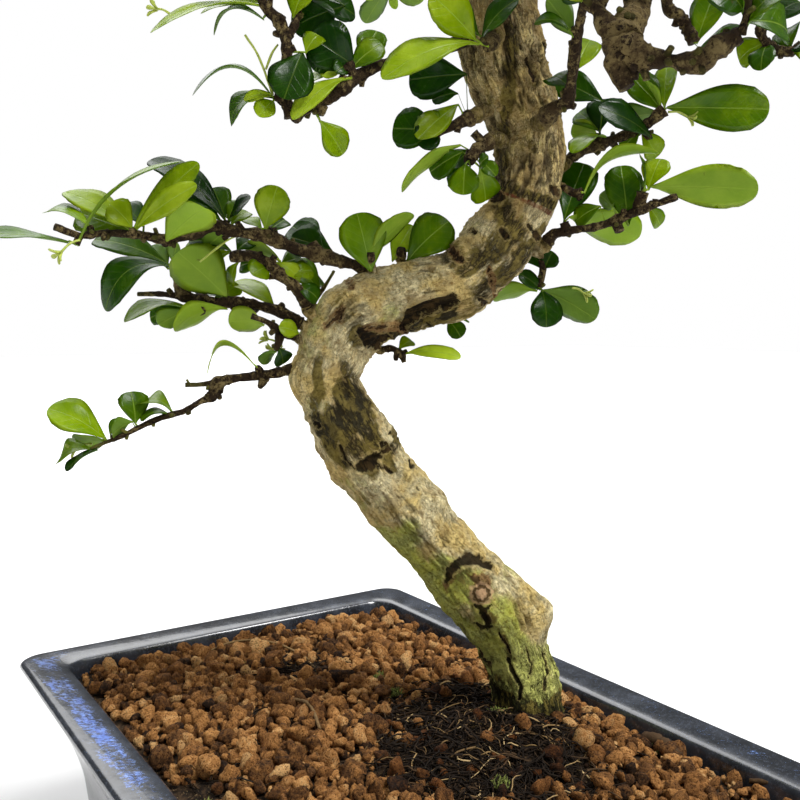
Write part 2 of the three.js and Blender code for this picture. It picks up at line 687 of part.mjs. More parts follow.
function makePot() {
  let pot = solidOf(loft(POT_PROFILE.map(([inset, height]) => roundedRectangle(inset, height))));
  for (const side of [-1, 1]) {
    const drain = new THREE.CylinderGeometry(DRAIN_RADIUS, DRAIN_RADIUS, 3 * FLOOR_THICKNESS, DRAIN_SIDES);
    drain.rotateX(Math.PI / 2).translate(side * DRAIN_OFFSET, 0, FLOOR_HEIGHT);
    pot = pot.subtract(solidOf(drain));
    for (const end of [-1, 1]) {
      const footX = side * (POT_LENGTH / 2 - FOOT_INSET - FOOT_LENGTH / 2);
      const footY = end * (POT_WIDTH / 2 - FOOT_INSET);
      const footTop = FOOT_HEIGHT + FOOT_SUNK;
      pot = pot.add(blockAt(footX, footY, footTop / 2, FOOT_LENGTH, FOOT_WIDTH, footTop));
    }
  }
  return geometryOf(pot);
}

// The drain screens, which keep the soil in over the holes of the floor.

const SCREEN_MIDDLE = FLOOR_HEIGHT + SEAT_GAP + SCREEN_THICKNESS / 2;

function makeScreen(side) {
  let screen = blockAt(side * DRAIN_OFFSET, 0, SCREEN_MIDDLE, SCREEN_SIZE, SCREEN_SIZE, SCREEN_THICKNESS);
  const middle = (SCREEN_HOLES - 1) / 2;
  for (let column = 0; column < SCREEN_HOLES; column += 1) {
    for (let row = 0; row < SCREEN_HOLES; row += 1) {
      const x = side * DRAIN_OFFSET + (column - middle) * SCREEN_PITCH;
      const y = (row - middle) * SCREEN_PITCH;
      const hole = blockAt(x, y, SCREEN_MIDDLE, SCREEN_HOLE_SIZE, SCREEN_HOLE_SIZE, FLOOR_THICKNESS);
      screen = screen.subtract(hole);
    }
  }
  return geometryOf(screen);
}

// The soil, a bed of coarse grains that mounds up to the trunk.

// The inset of the inner wall at a height, read off the pot's own profile.
function innerInset(height) {
  const wall = POT_PROFILE.slice(INNER_WALL_ROW);
  const lower = wall.findIndex((point) => point[1] <= height);
  const [insetAbove, heightAbove] = wall[lower - 1];
  const [insetBelow, heightBelow] = wall[lower];
  const share = (heightAbove - height) / (heightAbove - heightBelow);
  return THREE.MathUtils.lerp(insetAbove, insetBelow, share);
}

// A point of the bed from its column and row, both from -1 to 1, inside a rectangle with rounded corners.
function bedPoint(column, row, height) {
  const inset = innerInset(height) + SEAT_GAP;
  const halfLength = POT_LENGTH / 2 - inset;
  const halfWidth = POT_WIDTH / 2 - inset;
  const x = column * halfLength;
  const past = Math.max(Math.abs(x) - (halfLength - POT_CORNER_RADIUS), 0);
  const cut = POT_CORNER_RADIUS - Math.sqrt(Math.max(POT_CORNER_RADIUS ** 2 - past ** 2, 0));
  return new THREE.Vector3(x, row * (halfWidth - cut), height);
}

function makeSoil(trunkHole) {
  const random = seededRandom(GRAIN_SEED);
  const bottom = FLOOR_HEIGHT + SEAT_GAP;
  const top = [];
  for (let column = 0; column <= SOIL_COLUMNS; column += 1) {
    for (let row = 0; row <= SOIL_ROWS; row += 1) {
      const along = (2 * column) / SOIL_COLUMNS - 1;
      const across = (2 * row) / SOIL_ROWS - 1;
      const point = bedPoint(along, across, SOIL_EDGE_HEIGHT);
      const inner = column > 0 && column < SOIL_COLUMNS && row > 0 && row < SOIL_ROWS;
      const draws = [random(), random(), random()];
      if (inner) {
        point.x += (draws[0] - 0.5) * 2 * GRAIN_JITTER;
        point.y += (draws[1] - 0.5) * 2 * GRAIN_JITTER;
        point.z += (draws[2] - 0.5) * 2 * GRAIN_RELIEF;
        point.z += SOIL_MOUND * (1 - along ** 4) * (1 - across ** 4);
      }
      top.push(point);
    }
  }
  const rowCount = SOIL_ROWS + 1;
  const topIndex = (column, row) => column * rowCount + row;
  const rim = [];
  for (let column = 0; column < SOIL_COLUMNS; column += 1) {
    rim.push([column, 0]);
  }
  for (let row = 0; row < SOIL_ROWS; row += 1) {
    rim.push([SOIL_COLUMNS, row]);
  }
  for (let column = SOIL_COLUMNS; column > 0; column -= 1) {
    rim.push([column, SOIL_ROWS]);
  }
  for (let row = SOIL_ROWS; row > 0; row -= 1) {
    rim.push([0, row]);
  }
  const points = [...top];
  for (const height of [POT_WAIST_HEIGHT, bottom]) {
    for (const [column, row] of rim) {
      points.push(bedPoint((2 * column) / SOIL_COLUMNS - 1, (2 * row) / SOIL_ROWS - 1, height));
    }
  }
  points.push(new THREE.Vector3(0, 0, bottom));
  const index = [];
  for (let column = 0; column < SOIL_COLUMNS; column += 1) {
    for (let row = 0; row < SOIL_ROWS; row += 1) {
      const a = topIndex(column, row);
      const b = topIndex(column + 1, row);
      index.push(a, b, b + 1, a, b + 1, a + 1);
    }
  }
  const upperRim = rim.map(([column, row]) => topIndex(column, row));
  const levels = [upperRim];
  for (let level = 0; level < 2; level += 1) {
    levels.push(rim.map((_, step) => top.length + level * rim.length + step));
  }
  for (let level = 0; level < 2; level += 1) {
    for (let step = 0; step < rim.length; step += 1) {
      const after = (step + 1) % rim.length;
      const [a, b] = [levels[level][step], levels[level][after]];
      const [c, d] = [levels[level + 1][step], levels[level + 1][after]];
      index.push(a, d, b, a, c, d);
    }
  }
  const centre = points.length - 1;
  for (let step = 0; step < rim.length; step += 1) {
    index.push(levels[2][step], centre, levels[2][(step + 1) % rim.length]);
  }
  const geometry = new THREE.BufferGeometry().setFromPoints(points);
  geometry.setIndex(index);
  let soil = solidOf(geometry).subtract(trunkHole);
  const pocket = SCREEN_SIZE + 2 * SEAT_GAP;
  for (const side of [-1, 1]) {
    const depth = 2 * (SCREEN_THICKNESS + 2 * SEAT_GAP);
    soil = soil.subtract(blockAt(side * DRAIN_OFFSET, 0, FLOOR_HEIGHT, pocket, pocket, depth));
  }
  return geometryOf(soil);
}

// The trunk, with a collar under each branch.

const TRUNK_FOOT_STATIONS = 5;

function swellKnobs(geometry) {
  const centres = TRUNK_STATIONS.map(pointOf);
  const position = geometry.attributes.position;
  const point = new THREE.Vector3();
  for (let vertex = 0; vertex < position.count; vertex += 1) {
    point.fromBufferAttribute(position, vertex);
    const centre = centres[Math.floor(vertex / TRUNK_SIDES)];
    const outward = point.clone().sub(centre).normalize();
    for (const knob of TRUNK_KNOBS) {
      const apart = point.distanceTo(pointOf(knob));
      const [height, spread] = knob.slice(3);
      point.addScaledVector(outward, height * Math.exp(-(apart ** 2) / (2 * spread ** 2)));
    }
    position.setXYZ(vertex, ...point.toArray());
  }
}

function nearestStation(point) {
  const apart = TRUNK_STATIONS.map((station) => pointOf(station).distanceTo(point));
  return TRUNK_STATIONS[apart.indexOf(Math.min(...apart))];
}

// A short collar of trunk wood that carries a branch and ends just short of it.
function makeCollar(branch) {
  const start = pointOf(branch.stem[0]);
  const direction = pointOf(branch.stem[1]).sub(start).normalize();
  const radius = branch.stem[0][3];
  const core = nearestStation(start);
  const end = start.clone().addScaledVector(direction, -SEAT_GAP);
  const shoulder = start.clone().addScaledVector(direction, -COLLAR_LENGTH - radius);
  const stations = [
    [core[0], core[1], core[2], radius * COLLAR_SPREAD],
    [...shoulder.toArray(), radius * SHOULDER_SPREAD],
    [...end.toArray(), radius],
  ];
  return solidOf(rod(stations, COLLAR_SIDES, steadyReference(stations)));
}

function makeTrunk() {
  const geometry = rod(TRUNK_STATIONS, TRUNK_SIDES, TOWARDS_VIEWER);
  swellKnobs(geometry);
  const collars = Object.values(BRANCHES).map(makeCollar);
  return geometryOf(joined([solidOf(geometry), ...collars]));
}

// The plain hole that the soil leaves for the foot of the trunk.
function makeTrunkHole() {
  const foot = TRUNK_STATIONS.slice(0, TRUNK_FOOT_STATIONS);
  const widened = foot.map(([right, away, up, radius]) => [right, away, up, radius + SEAT_GAP]);
  widened[0][2] -= SEAT_GAP;
  const hole = solidOf(rod(widened, TRUNK_SIDES, TOWARDS_VIEWER));
  return hole.rotate([0, 0, TREE_TURN]);
}

// The branches and their leaves.

// The petiole's corners at its root, to the side and up, as shares of its radius.
const PETIOLE_CORNERS = [[1, 0.5], [-1, 0.5], [0, -1]];

// One thin blade with waved edges and a keel below, whose root reaches into what it grows from.
function makeBlade(root, foot, tip, width, normal, arch, phase) {
  const along = tip.clone().sub(foot);
  const length = along.length();
  along.normalize();
  const upward = normal.clone().addScaledVector(along, -normal.dot(along)).normalize();
  const sideways = new THREE.Vector3().crossVectors(upward, along);
  const petiole = PETIOLE_CORNERS.map(([right, over]) =>
    root
      .clone()
      .addScaledVector(sideways, right * PETIOLE_RADIUS)
      .addScaledVector(upward, over * PETIOLE_RADIUS),
  );
  const rings = BLADE_SECTIONS.map(([place, share]) => {
    const middle = foot
      .clone()
      .addScaledVector(along, place * length)
      .addScaledVector(upward, arch * 4 * place * (1 - place));
    const half = share * width;
    const wave = BLADE_WAVE * Math.sin(BLADE_WAVE_RATE * place + phase);
    const edge = (side) =>
      middle
        .clone()
        .addScaledVector(sideways, side * half)
        .addScaledVector(upward, half * (BLADE_FOLD + side * wave));
    return [edge(1), edge(-1), middle.clone().addScaledVector(upward, -BLADE_KEEL)];
  });
  return solidOf(loft([petiole, ...rings]));
}

function nearestOnStems(runs, point) {
  const segment = new THREE.Line3();
  const candidate = new THREE.Vector3();
  let best = null;
  for (const run of runs) {
    for (let step = 0; step < run.length - 1; step += 1) {
      segment.set(pointOf(run[step]), pointOf(run[step + 1]));
      segment.closestPointToPoint(point, true, candidate);
      if (best === null || candidate.distanceTo(point) < best.distanceTo(point)) {
        best = candidate.clone();
      }
    }
  }
  return best;
}

// The upper side of a leaf faces up and is then turned about the leaf's own length.
function turnedNormal(along, turn) {
  const upward = UP.clone().addScaledVector(along, -UP.dot(along)).normalize();
  return upward.applyAxisAngle(along, THREE.MathUtils.degToRad(-turn));
}

function placedBlades(branch) {
  const runs = [branch.stem, ...branch.twigs];
  return branch.leaves.map((leaf, order) => {
    const foot = pointOf(leaf);
    const tip = pointOf(leaf.slice(3));
    const [width, turn, arch] = leaf.slice(6);
    const normal = turnedNormal(tip.clone().sub(foot).normalize(), turn);
    return makeBlade(nearestOnStems(runs, foot), foot, tip, width, normal, arch, BLADE_PHASE_STEP * order);
  });
}

// Side shoots at even steps along a stem, to the left and right in turn, each with a whorl of leaves.
function sprayed(branch) {
  const solids = [];
  const [count, reach, seed] = branch.sprays;
  const random = seededRandom(seed);
  for (let order = 0; order < count; order += 1) {
    const share = THREE.MathUtils.lerp(SHOOT_START, 1, order / (count - 1));
    const place = share * (branch.stem.length - 1);
    const before = Math.min(Math.floor(place), branch.stem.length - 2);
    const start = pointOf(branch.stem[before]).lerp(pointOf(branch.stem[before + 1]), place - before);
    const tangent = pointOf(branch.stem[before + 1]).sub(pointOf(branch.stem[before])).normalize();
    const aside = new THREE.Vector3().crossVectors(tangent, UP).normalize();
    const lean = order === count - 1 ? 0 : SHOOT_LEAN * (order % 2 === 0 ? 1 : -1);
    const direction = tangent
      .multiplyScalar(SHOOT_FORWARD)
      .addScaledVector(aside, lean)
      .addScaledVector(UP, drawn(SHOOT_LIFT, random))
      .normalize();
    const end = start.clone().addScaledVector(direction, reach * drawn(SHOOT_REACH, random));
    const shoot = [[...start.toArray(), SHOOT_RADII[0]], [...end.toArray(), SHOOT_RADII[1]]];
    solids.push(solidOf(rod(shoot, TWIG_SIDES, steadyReference(shoot))));
    solids.push(...whorl(end, direction, random));
  }
  return solids;
}

// A direction whose upward share is over this is too steep to take a level axis from.
const STEEP = 0.9;

function whorl(end, direction, random) {
  const blades = [];
  const reference = Math.abs(direction.z) < STEEP ? UP : new THREE.Vector3(1, 0, 0);
  const across = new THREE.Vector3().crossVectors(direction, reference).normalize();
  const beside = new THREE.Vector3().crossVectors(direction, across);
  const start = 2 * Math.PI * random();
  for (let order = 0; order < WHORL_BLADES; order += 1) {
    const around = start + GOLDEN_ANGLE * order;
    const tilt = THREE.MathUtils.degToRad(drawn(WHORL_TILT, random) + WHORL_TILT_STEP * order);
    const length = drawn(WHORL_LENGTH, random);
    const outward = across.clone().multiplyScalar(Math.cos(around)).addScaledVector(beside, Math.sin(around));
    const along = direction.clone().multiplyScalar(Math.cos(tilt)).addScaledVector(outward, Math.sin(tilt));
    const foot = end.clone().addScaledVector(direction, -WHORL_SPACING * order);
    const tip = foot.clone().addScaledVector(along, length);
    const arch = drawn(WHORL_ARCH, random);
    blades.push(makeBlade(foot, foot, tip, WHORL_WIDTH_SHARE * length, direction, arch, around));
  }
  return blades;
}

function makeBranch(branch) {
  const solids = [solidOf(rod(branch.stem, STEM_SIDES, steadyReference(branch.stem)))];
  for (const twig of branch.twigs) {
    solids.push(solidOf(rod(twig, TWIG_SIDES, steadyReference(twig))));
  }
  solids.push(...placedBlades(branch));
  if (branch.sprays) {
    solids.push(...sprayed(branch));
  }
  return geometryOf(joined(solids));
}

// The whole plant in its pot.

const GLAZE = new THREE.MeshStandardMaterial({ color: 0x1d222d, roughness: 0.22, metalness: 0 });
const SCREEN_PLASTIC = new THREE.MeshStandardMaterial({ color: 0x1a1c1b, roughness: 0.6, metalness: 0 });
const GRAINS = new THREE.MeshStandardMaterial({ color: 0x74462a, roughness: 0.95, metalness: 0 });
const BARK = new THREE.MeshStandardMaterial({ color: 0x8f8159, roughness: 0.9, metalness: 0 });
const FOLIAGE = new THREE.MeshStandardMaterial({ color: 0x3f6f14, roughness: 0.42, metalness: 0 });

function named(name, geometry, material) {
  const mesh = new THREE.Mesh(geometry, material.clone());
  mesh.name = name;
  return mesh;
}

const bonsai = new THREE.Group();
bonsai.add(named("pot", makePot(), GLAZE));
bonsai.add(named("drain_screen_left", makeScreen(-1), SCREEN_PLASTIC));
bonsai.add(named("drain_screen_right", makeScreen(1), SCREEN_PLASTIC));
bonsai.add(named("soil", makeSoil(makeTrunkHole()), GRAINS));

const tree = new THREE.Group();
tree.rotation.z = THREE.MathUtils.degToRad(TREE_TURN);
tree.add(named("trunk", makeTrunk(), BARK));
for (const [name, branch] of Object.entries(BRANCHES)) {
  tree.add(named(`branch_${name}`, makeBranch(branch), FOLIAGE));
}
bonsai.add(tree);

export default bonsai;
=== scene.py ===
"""Looks of a fukien tea bonsai in its glazed pot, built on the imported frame.

Shapes are worked out in millimetres and set into meshes in metres. The pot's own frame has +Z up and +X
along its long side. The tree is laid out as it is seen, with right, away and up, and then turned into that
frame.
"""

import itertools
import logging
import math
from collections.abc import Mapping, Sequence
from dataclasses import dataclass, field, replace
from enum import Enum

import bpy
import numpy as np
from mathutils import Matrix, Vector
from numpy.typing import NDArray


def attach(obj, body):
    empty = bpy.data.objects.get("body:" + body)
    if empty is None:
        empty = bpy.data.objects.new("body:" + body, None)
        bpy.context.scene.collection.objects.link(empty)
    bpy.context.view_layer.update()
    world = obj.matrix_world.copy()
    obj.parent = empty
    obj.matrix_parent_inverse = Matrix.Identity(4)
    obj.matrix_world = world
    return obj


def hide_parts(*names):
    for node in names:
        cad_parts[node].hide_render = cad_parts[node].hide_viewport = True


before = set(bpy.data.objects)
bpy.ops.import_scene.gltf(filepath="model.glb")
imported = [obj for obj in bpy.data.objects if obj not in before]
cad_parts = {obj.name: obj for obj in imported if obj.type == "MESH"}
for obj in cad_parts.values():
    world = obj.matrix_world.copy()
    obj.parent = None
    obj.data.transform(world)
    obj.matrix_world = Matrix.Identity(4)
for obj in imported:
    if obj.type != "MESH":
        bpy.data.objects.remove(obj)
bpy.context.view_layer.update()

Array = NDArray[np.float64]
Station = tuple[float, ...]
Color = tuple[float, float, float, float]

log = logging.getLogger("bonsai")

METRES = 0.001
TREE_TURN = math.radians(56.05)
WELD_DIGITS = 4
GOLDEN_ANGLE = math.radians(137.5)
UP = np.array([0.0, 0.0, 1.0])
COS, SIN = math.cos(TREE_TURN), math.sin(TREE_TURN)
TREE_MATRIX = np.array([[COS, SIN, 0.0], [-SIN, COS, 0.0], [0.0, 0.0, 1.0]])
TOWARDS_VIEWER = np.array([0.0, -1.0, 0.0])
DULL_GLOSS = 0.12
HASH_AXES = np.array([374761393, 668265263, 2246822519], np.uint64)
HASH_SEED = 3266489917
HASH_MIXERS = (2654435761, 1274126177)


class Shade(Enum):
    """Which finish a face takes, as its place in its piece's list of materials."""

    WOOD = 0
    LEAF = 1
    CALYX = 2


# Numbers, noise and paths


def unit(vectors: Array) -> Array:
    """Scales vectors in the last axis to length one.

    Args:
        vectors: Any array of vectors.

    Returns:
        The same array with each vector divided by its own length.
    """
    return vectors / np.maximum(np.linalg.norm(vectors, axis=-1, keepdims=True), 1e-9)


def across_of(vectors: Array, axis: Array) -> Array:
    """Takes from vectors what runs along a unit axis, and scales the rest to length one.

    Args:
        vectors: Vectors to set square to the axis.
        axis: Unit vectors of the same shape.

    Returns:
        Unit vectors square to the axis.
    """
    return unit(vectors - np.sum(vectors * axis, axis=-1, keepdims=True) * axis)


def ramp(low: float, high: float, values: Array) -> Array:
    """Smooth step: 0 below low, 1 above high and 3t²-2t³ between, where t is the share of the way."""
    share = np.clip((values - low) / (high - low), 0.0, 1.0)
    return share * share * (3.0 - 2.0 * share)


def lattice_noise(points: Array, seed: int) -> Array:
    """Smooth random values: the hashed values of the eight lattice corners round a point, blended by 3t²-2t³.

    Args:
        points: Places in lattice cells, with three numbers in the last axis.
        seed: Which of the many fields of values to take.

    Returns:
        Values from -1 to 1, one for each point.
    """
    cell = np.floor(points).astype(np.int64)
    part = points - cell
    blend = part * part * (3.0 - 2.0 * part)
    total = np.zeros(points.shape[:-1])
    for corner in itertools.product((0, 1), repeat=3):
        at = (cell + np.array(corner)).astype(np.uint64)
        key = np.sum(at * HASH_AXES, axis=-1, dtype=np.uint64) + np.uint64(seed * HASH_SEED % 2**62)
        for shift, mixer in zip((15, 13), HASH_MIXERS):
            key = (key ^ (key >> np.uint64(shift))) * np.uint64(mixer)
        value = ((key >> np.uint64(16)) & np.uint64(0xFFFF)).astype(np.float64) / 32767.5 - 1.0
        weight = np.prod(np.where(np.array(corner) == 1, blend, 1.0 - blend), axis=-1)
        total += weight * value
    return total


def layered_noise(points: Array, octaves: int, seed: int) -> Array:
    """Sums lattice noise at doubling scales and halving heights, divided by the sum of the heights.

    Args:
        points: Places in cells of the coarsest layer.
        octaves: How many layers are summed.
        seed: Which field of values to take.

    Returns:
        Values from about -1 to 1.
    """
    heights = [0.5**layer for layer in range(octaves)]
    layers = [
        height * lattice_noise(points * 2.0**layer, seed + layer)
        for layer, height in enumerate(heights)
    ]
    return np.sum(layers, axis=0) / sum(heights)


def smooth_path(stations: Array, steps: int) -> Array:
    """Smooth curve through stations: half of 2b+(c-a)s+(2a-5b+4c-d)s²+(3b-a-3c+d)s³ in each span.

    Args:
        stations: Rows of numbers, such as a place and a radius, that the curve runs through.
        steps: How many rows come back, at even shares of the stations.

    Returns:
        The smoothed rows.
    """
    before = 2.0 * stations[:1] - stations[1:2]
    after = 2.0 * stations[-1:] - stations[-2:-1]
    padded = np.vstack([before, stations, after])
    place = np.linspace(0.0, len(stations) - 1.0, steps)
    span = np.minimum(place.astype(int), len(stations) - 2)
    s = (place - span)[:, None]
    a, b, c, d = (padded[span + k] for k in range(4))
    bend = (2.0 * a - 5.0 * b + 4.0 * c - d) * s**2 + (3.0 * b - a - 3.0 * c + d) * s**3
    return 0.5 * (2.0 * b + (c - a) * s + bend)


def lengths_along(path: Array) -> Array:
    """Distance from the start of a path to each of its points."""
    steps = np.linalg.norm(np.diff(path, axis=0), axis=1)
    return np.concatenate([[0.0], np.cumsum(steps)])


def steady_reference(path: Array) -> Array:
    """The main direction that a path follows least, which its rings are turned from.

    Args:
        path: Points of the path.

    Returns:
        One of the three axes.
    """
    reference = np.zeros(3)
    reference[int(np.argmin(np.abs(path[-1] - path[0])))] = 1.0
    return reference


def rings_round(path: Array, reference: Array, sides: int) -> tuple[Array, Array]:
    """Directions from a path to the points of a ring at each of its steps: across·cos(a) + beside·sin(a).

    Args:
        path: Points of the path.
        reference: Direction that the first point of each ring lies towards.
        sides: How many points a ring has.

    Returns:
        The unit directions, as steps by sides by three, and the path's unit tangents.
    """
    tangent = unit(np.gradient(path, axis=0))
    across = across_of(np.broadcast_to(reference, tangent.shape), tangent)
    beside = np.cross(tangent, across)
    angle = 2.0 * np.pi * np.arange(sides) / sides
    turned = across[:, None] * np.cos(angle)[:, None] + beside[:, None] * np.sin(angle)[:, None]
    return turned, tangent


def into_pot_frame(points: Array) -> Array:
    """Turns places of right, away and up about the up axis into the pot's own frame."""
    return points @ TREE_MATRIX


def as_seen(points: Array) -> Array:
    """Turns places of the pot's own frame back to right, away and up."""
    return points @ TREE_MATRIX.T


# Meshes


@dataclass
class Surface:
    """Grids of points that are gathered, welded along their seams and poles, and made one mesh."""

    points: list[Array] = field(default_factory=list)
    faces: list[NDArray[np.int64]] = field(default_factory=list)
    shades: list[NDArray[np.int32]] = field(default_factory=list)
    layers: dict[str, list[Array]] = field(default_factory=lambda: {"mark": [], "tone": [], "flow": []})
    count: int = 0

    def add_grids(
        self,
        grids: Array,
        wrapped: bool = False,
        flipped: bool = False,
        shade: Shade = Shade.WOOD,
        **layers: Array,
    ) -> None:
        """Adds one grid of rows and columns, or a stack of such grids.

        Args:
            grids: Places in millimetres, as (stack,) rows, columns, three.
            wrapped: Whether the last column joins the first, as in a tube.
            flipped: Whether the faces are turned to look the other way.
            shade: Which finish the faces take.
            layers: Three numbers for each point that its material reads: "mark" and "tone", or else nothing,
                and "flow", its place on the unrolled skin, or else its place.
        """
        stack = grids.reshape((-1,) + grids.shape[-3:])
        copies, rows_down, columns = stack.shape[:3]
        index = self.count + np.arange(copies * rows_down * columns).reshape(copies, rows_down, columns)
        if wrapped:
            index = np.concatenate([index, index[:, :, :1]], axis=2)
        corners = [index[:, :-1, :-1], index[:, :-1, 1:], index[:, 1:, 1:], index[:, 1:, :-1]]
        faces = np.stack(corners[::-1] if flipped else corners, axis=-1).reshape(-1, 4)
        flat = stack.reshape(-1, 3)
        self.points.append(flat)
        self.faces.append(faces)
        self.shades.append(np.full(len(faces), shade.value, np.int32))
        for name, values in self.layers.items():
            missing = flat if name == "flow" else np.zeros_like(flat)
            values.append(layers[name].reshape(-1, 3) if name in layers else missing)
        self.count += len(flat)

    def mesh(self, name: str) -> bpy.types.Mesh:
        """Welds the points that lie within a ten-thousandth of a millimetre and fills a mesh in metres.

        Args:
            name: The mesh's name.

        Returns:
            The mesh, smooth, with the attributes "mark", "tone" and "flow" on its points.
        """
        points = np.concatenate(self.points)
        _, first, where = np.unique(
            np.round(points, WELD_DIGITS), axis=0, return_index=True, return_inverse=True
        )
        faces = where.reshape(-1)[np.concatenate(self.faces)]
        keep = faces != np.roll(faces, -1, axis=1)
        corners = keep.sum(axis=1)
        whole = corners > 2
        faces, keep, corners = faces[whole], keep[whole], corners[whole]
        loops = faces[keep]
        mesh = bpy.data.meshes.new(name)
        mesh.vertices.add(len(first))
        mesh.vertices.foreach_set("co", (points[first] * METRES).astype(np.float32).ravel())
        mesh.loops.add(len(loops))
        mesh.loops.foreach_set("vertex_index", loops.astype(np.int32))
        mesh.polygons.add(len(faces))
        starts = np.concatenate([[0], np.cumsum(corners)[:-1]]).astype(np.int32)
        mesh.polygons.foreach_set("loop_start", starts)
        mesh.polygons.foreach_set("material_index", np.concatenate(self.shades)[whole])
        mesh.polygons.foreach_set("use_smooth", np.ones(len(faces), bool))
        mesh.update(calc_edges=True)
        for label, values in self.layers.items():
            layer = mesh.attributes.new(label, "FLOAT_VECTOR", "POINT")
            layer.data.foreach_set("vector", np.concatenate(values)[first].astype(np.float32).ravel())
        return mesh

    def piece(
        self, name: str, materials: Sequence[bpy.types.Material], node: str | None, slot: str
    ) -> bpy.types.Object:
        """Makes the piece's object, puts it on the body and hides the frame's node that it replaces.

        Args:
            name: The piece's name.
            materials: Its finishes, in the order of Shade.
            node: The frame's node that it replaces, or None where it only adds to one.
            slot: Not used.

        Returns:
            The new object.
        """
        mesh = self.mesh(name)
        for material in materials:
            mesh.materials.append(material)
        made = bpy.data.objects.new(name, mesh)
        bpy.context.scene.collection.objects.link(made)
        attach(made, "root")
        if node is not None:
            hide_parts(node)
        log.info("%s: %d points, %d faces", name, len(mesh.vertices), len(mesh.polygons))
        return made


# Shader arithmetic


class Wire:
    """A shader socket that takes part in Python arithmetic, each step of which adds a Math node."""

    def __init__(self, shader: "Shader", socket: bpy.types.NodeSocket) -> None:
        """Keeps the socket and the shader that it belongs to."""
        self.shader = shader
        self.socket = socket

    def _math(self, operation: str, *values: "Wire | float") -> "Wire":
        """Adds a Math node on the given values."""
        return self.shader.node("ShaderNodeMath", {"operation": operation}, dict(enumerate(values)))

    def __add__(self, other: "Wire | float") -> "Wire":
        """Sum."""
        return self._math("ADD", self, other)

    def __radd__(self, other: float) -> "Wire":
        """Sum with a number on the left."""
        return self._math("ADD", other, self)

    def __sub__(self, other: "Wire | float") -> "Wire":
        """Difference."""
        return self._math("SUBTRACT", self, other)

    def __rsub__(self, other: float) -> "Wire":
        """Difference from a number on the left."""
        return self._math("SUBTRACT", other, self)

    def __mul__(self, other: "Wire | float") -> "Wire":
        """Product."""
        return self._math("MULTIPLY", self, other)

    def __rmul__(self, other: float) -> "Wire":
        """Product with a number on the left."""
        return self._math("MULTIPLY", other, self)

    def power(self, exponent: float) -> "Wire":
        """This value to a power."""
        return self._math("POWER", self, exponent)

    def size(self) -> "Wire":
        """This value without its sign."""
        return self._math("ABSOLUTE", self)

    def wave(self) -> "Wire":
        """The sine of this value."""
        return self._math("SINE", self)

    def over(self, low: float, high: float) -> "Wire":
        """Smooth step of this value.

        Args:
            low: Where the step is 0.
            high: Where it is 1, which may lie below low.

        Returns:
            The step.
        """
        ends = {"From Min": min(low, high), "From Max": max(low, high)}
        outs = {"To Min": 0.0, "To Max": 1.0} if low < high else {"To Min": 1.0, "To Max": 0.0}
        settings = {"interpolation_type": "SMOOTHSTEP"}
        return self.shader.node("ShaderNodeMapRange", settings, {"Value": self, **ends, **outs})


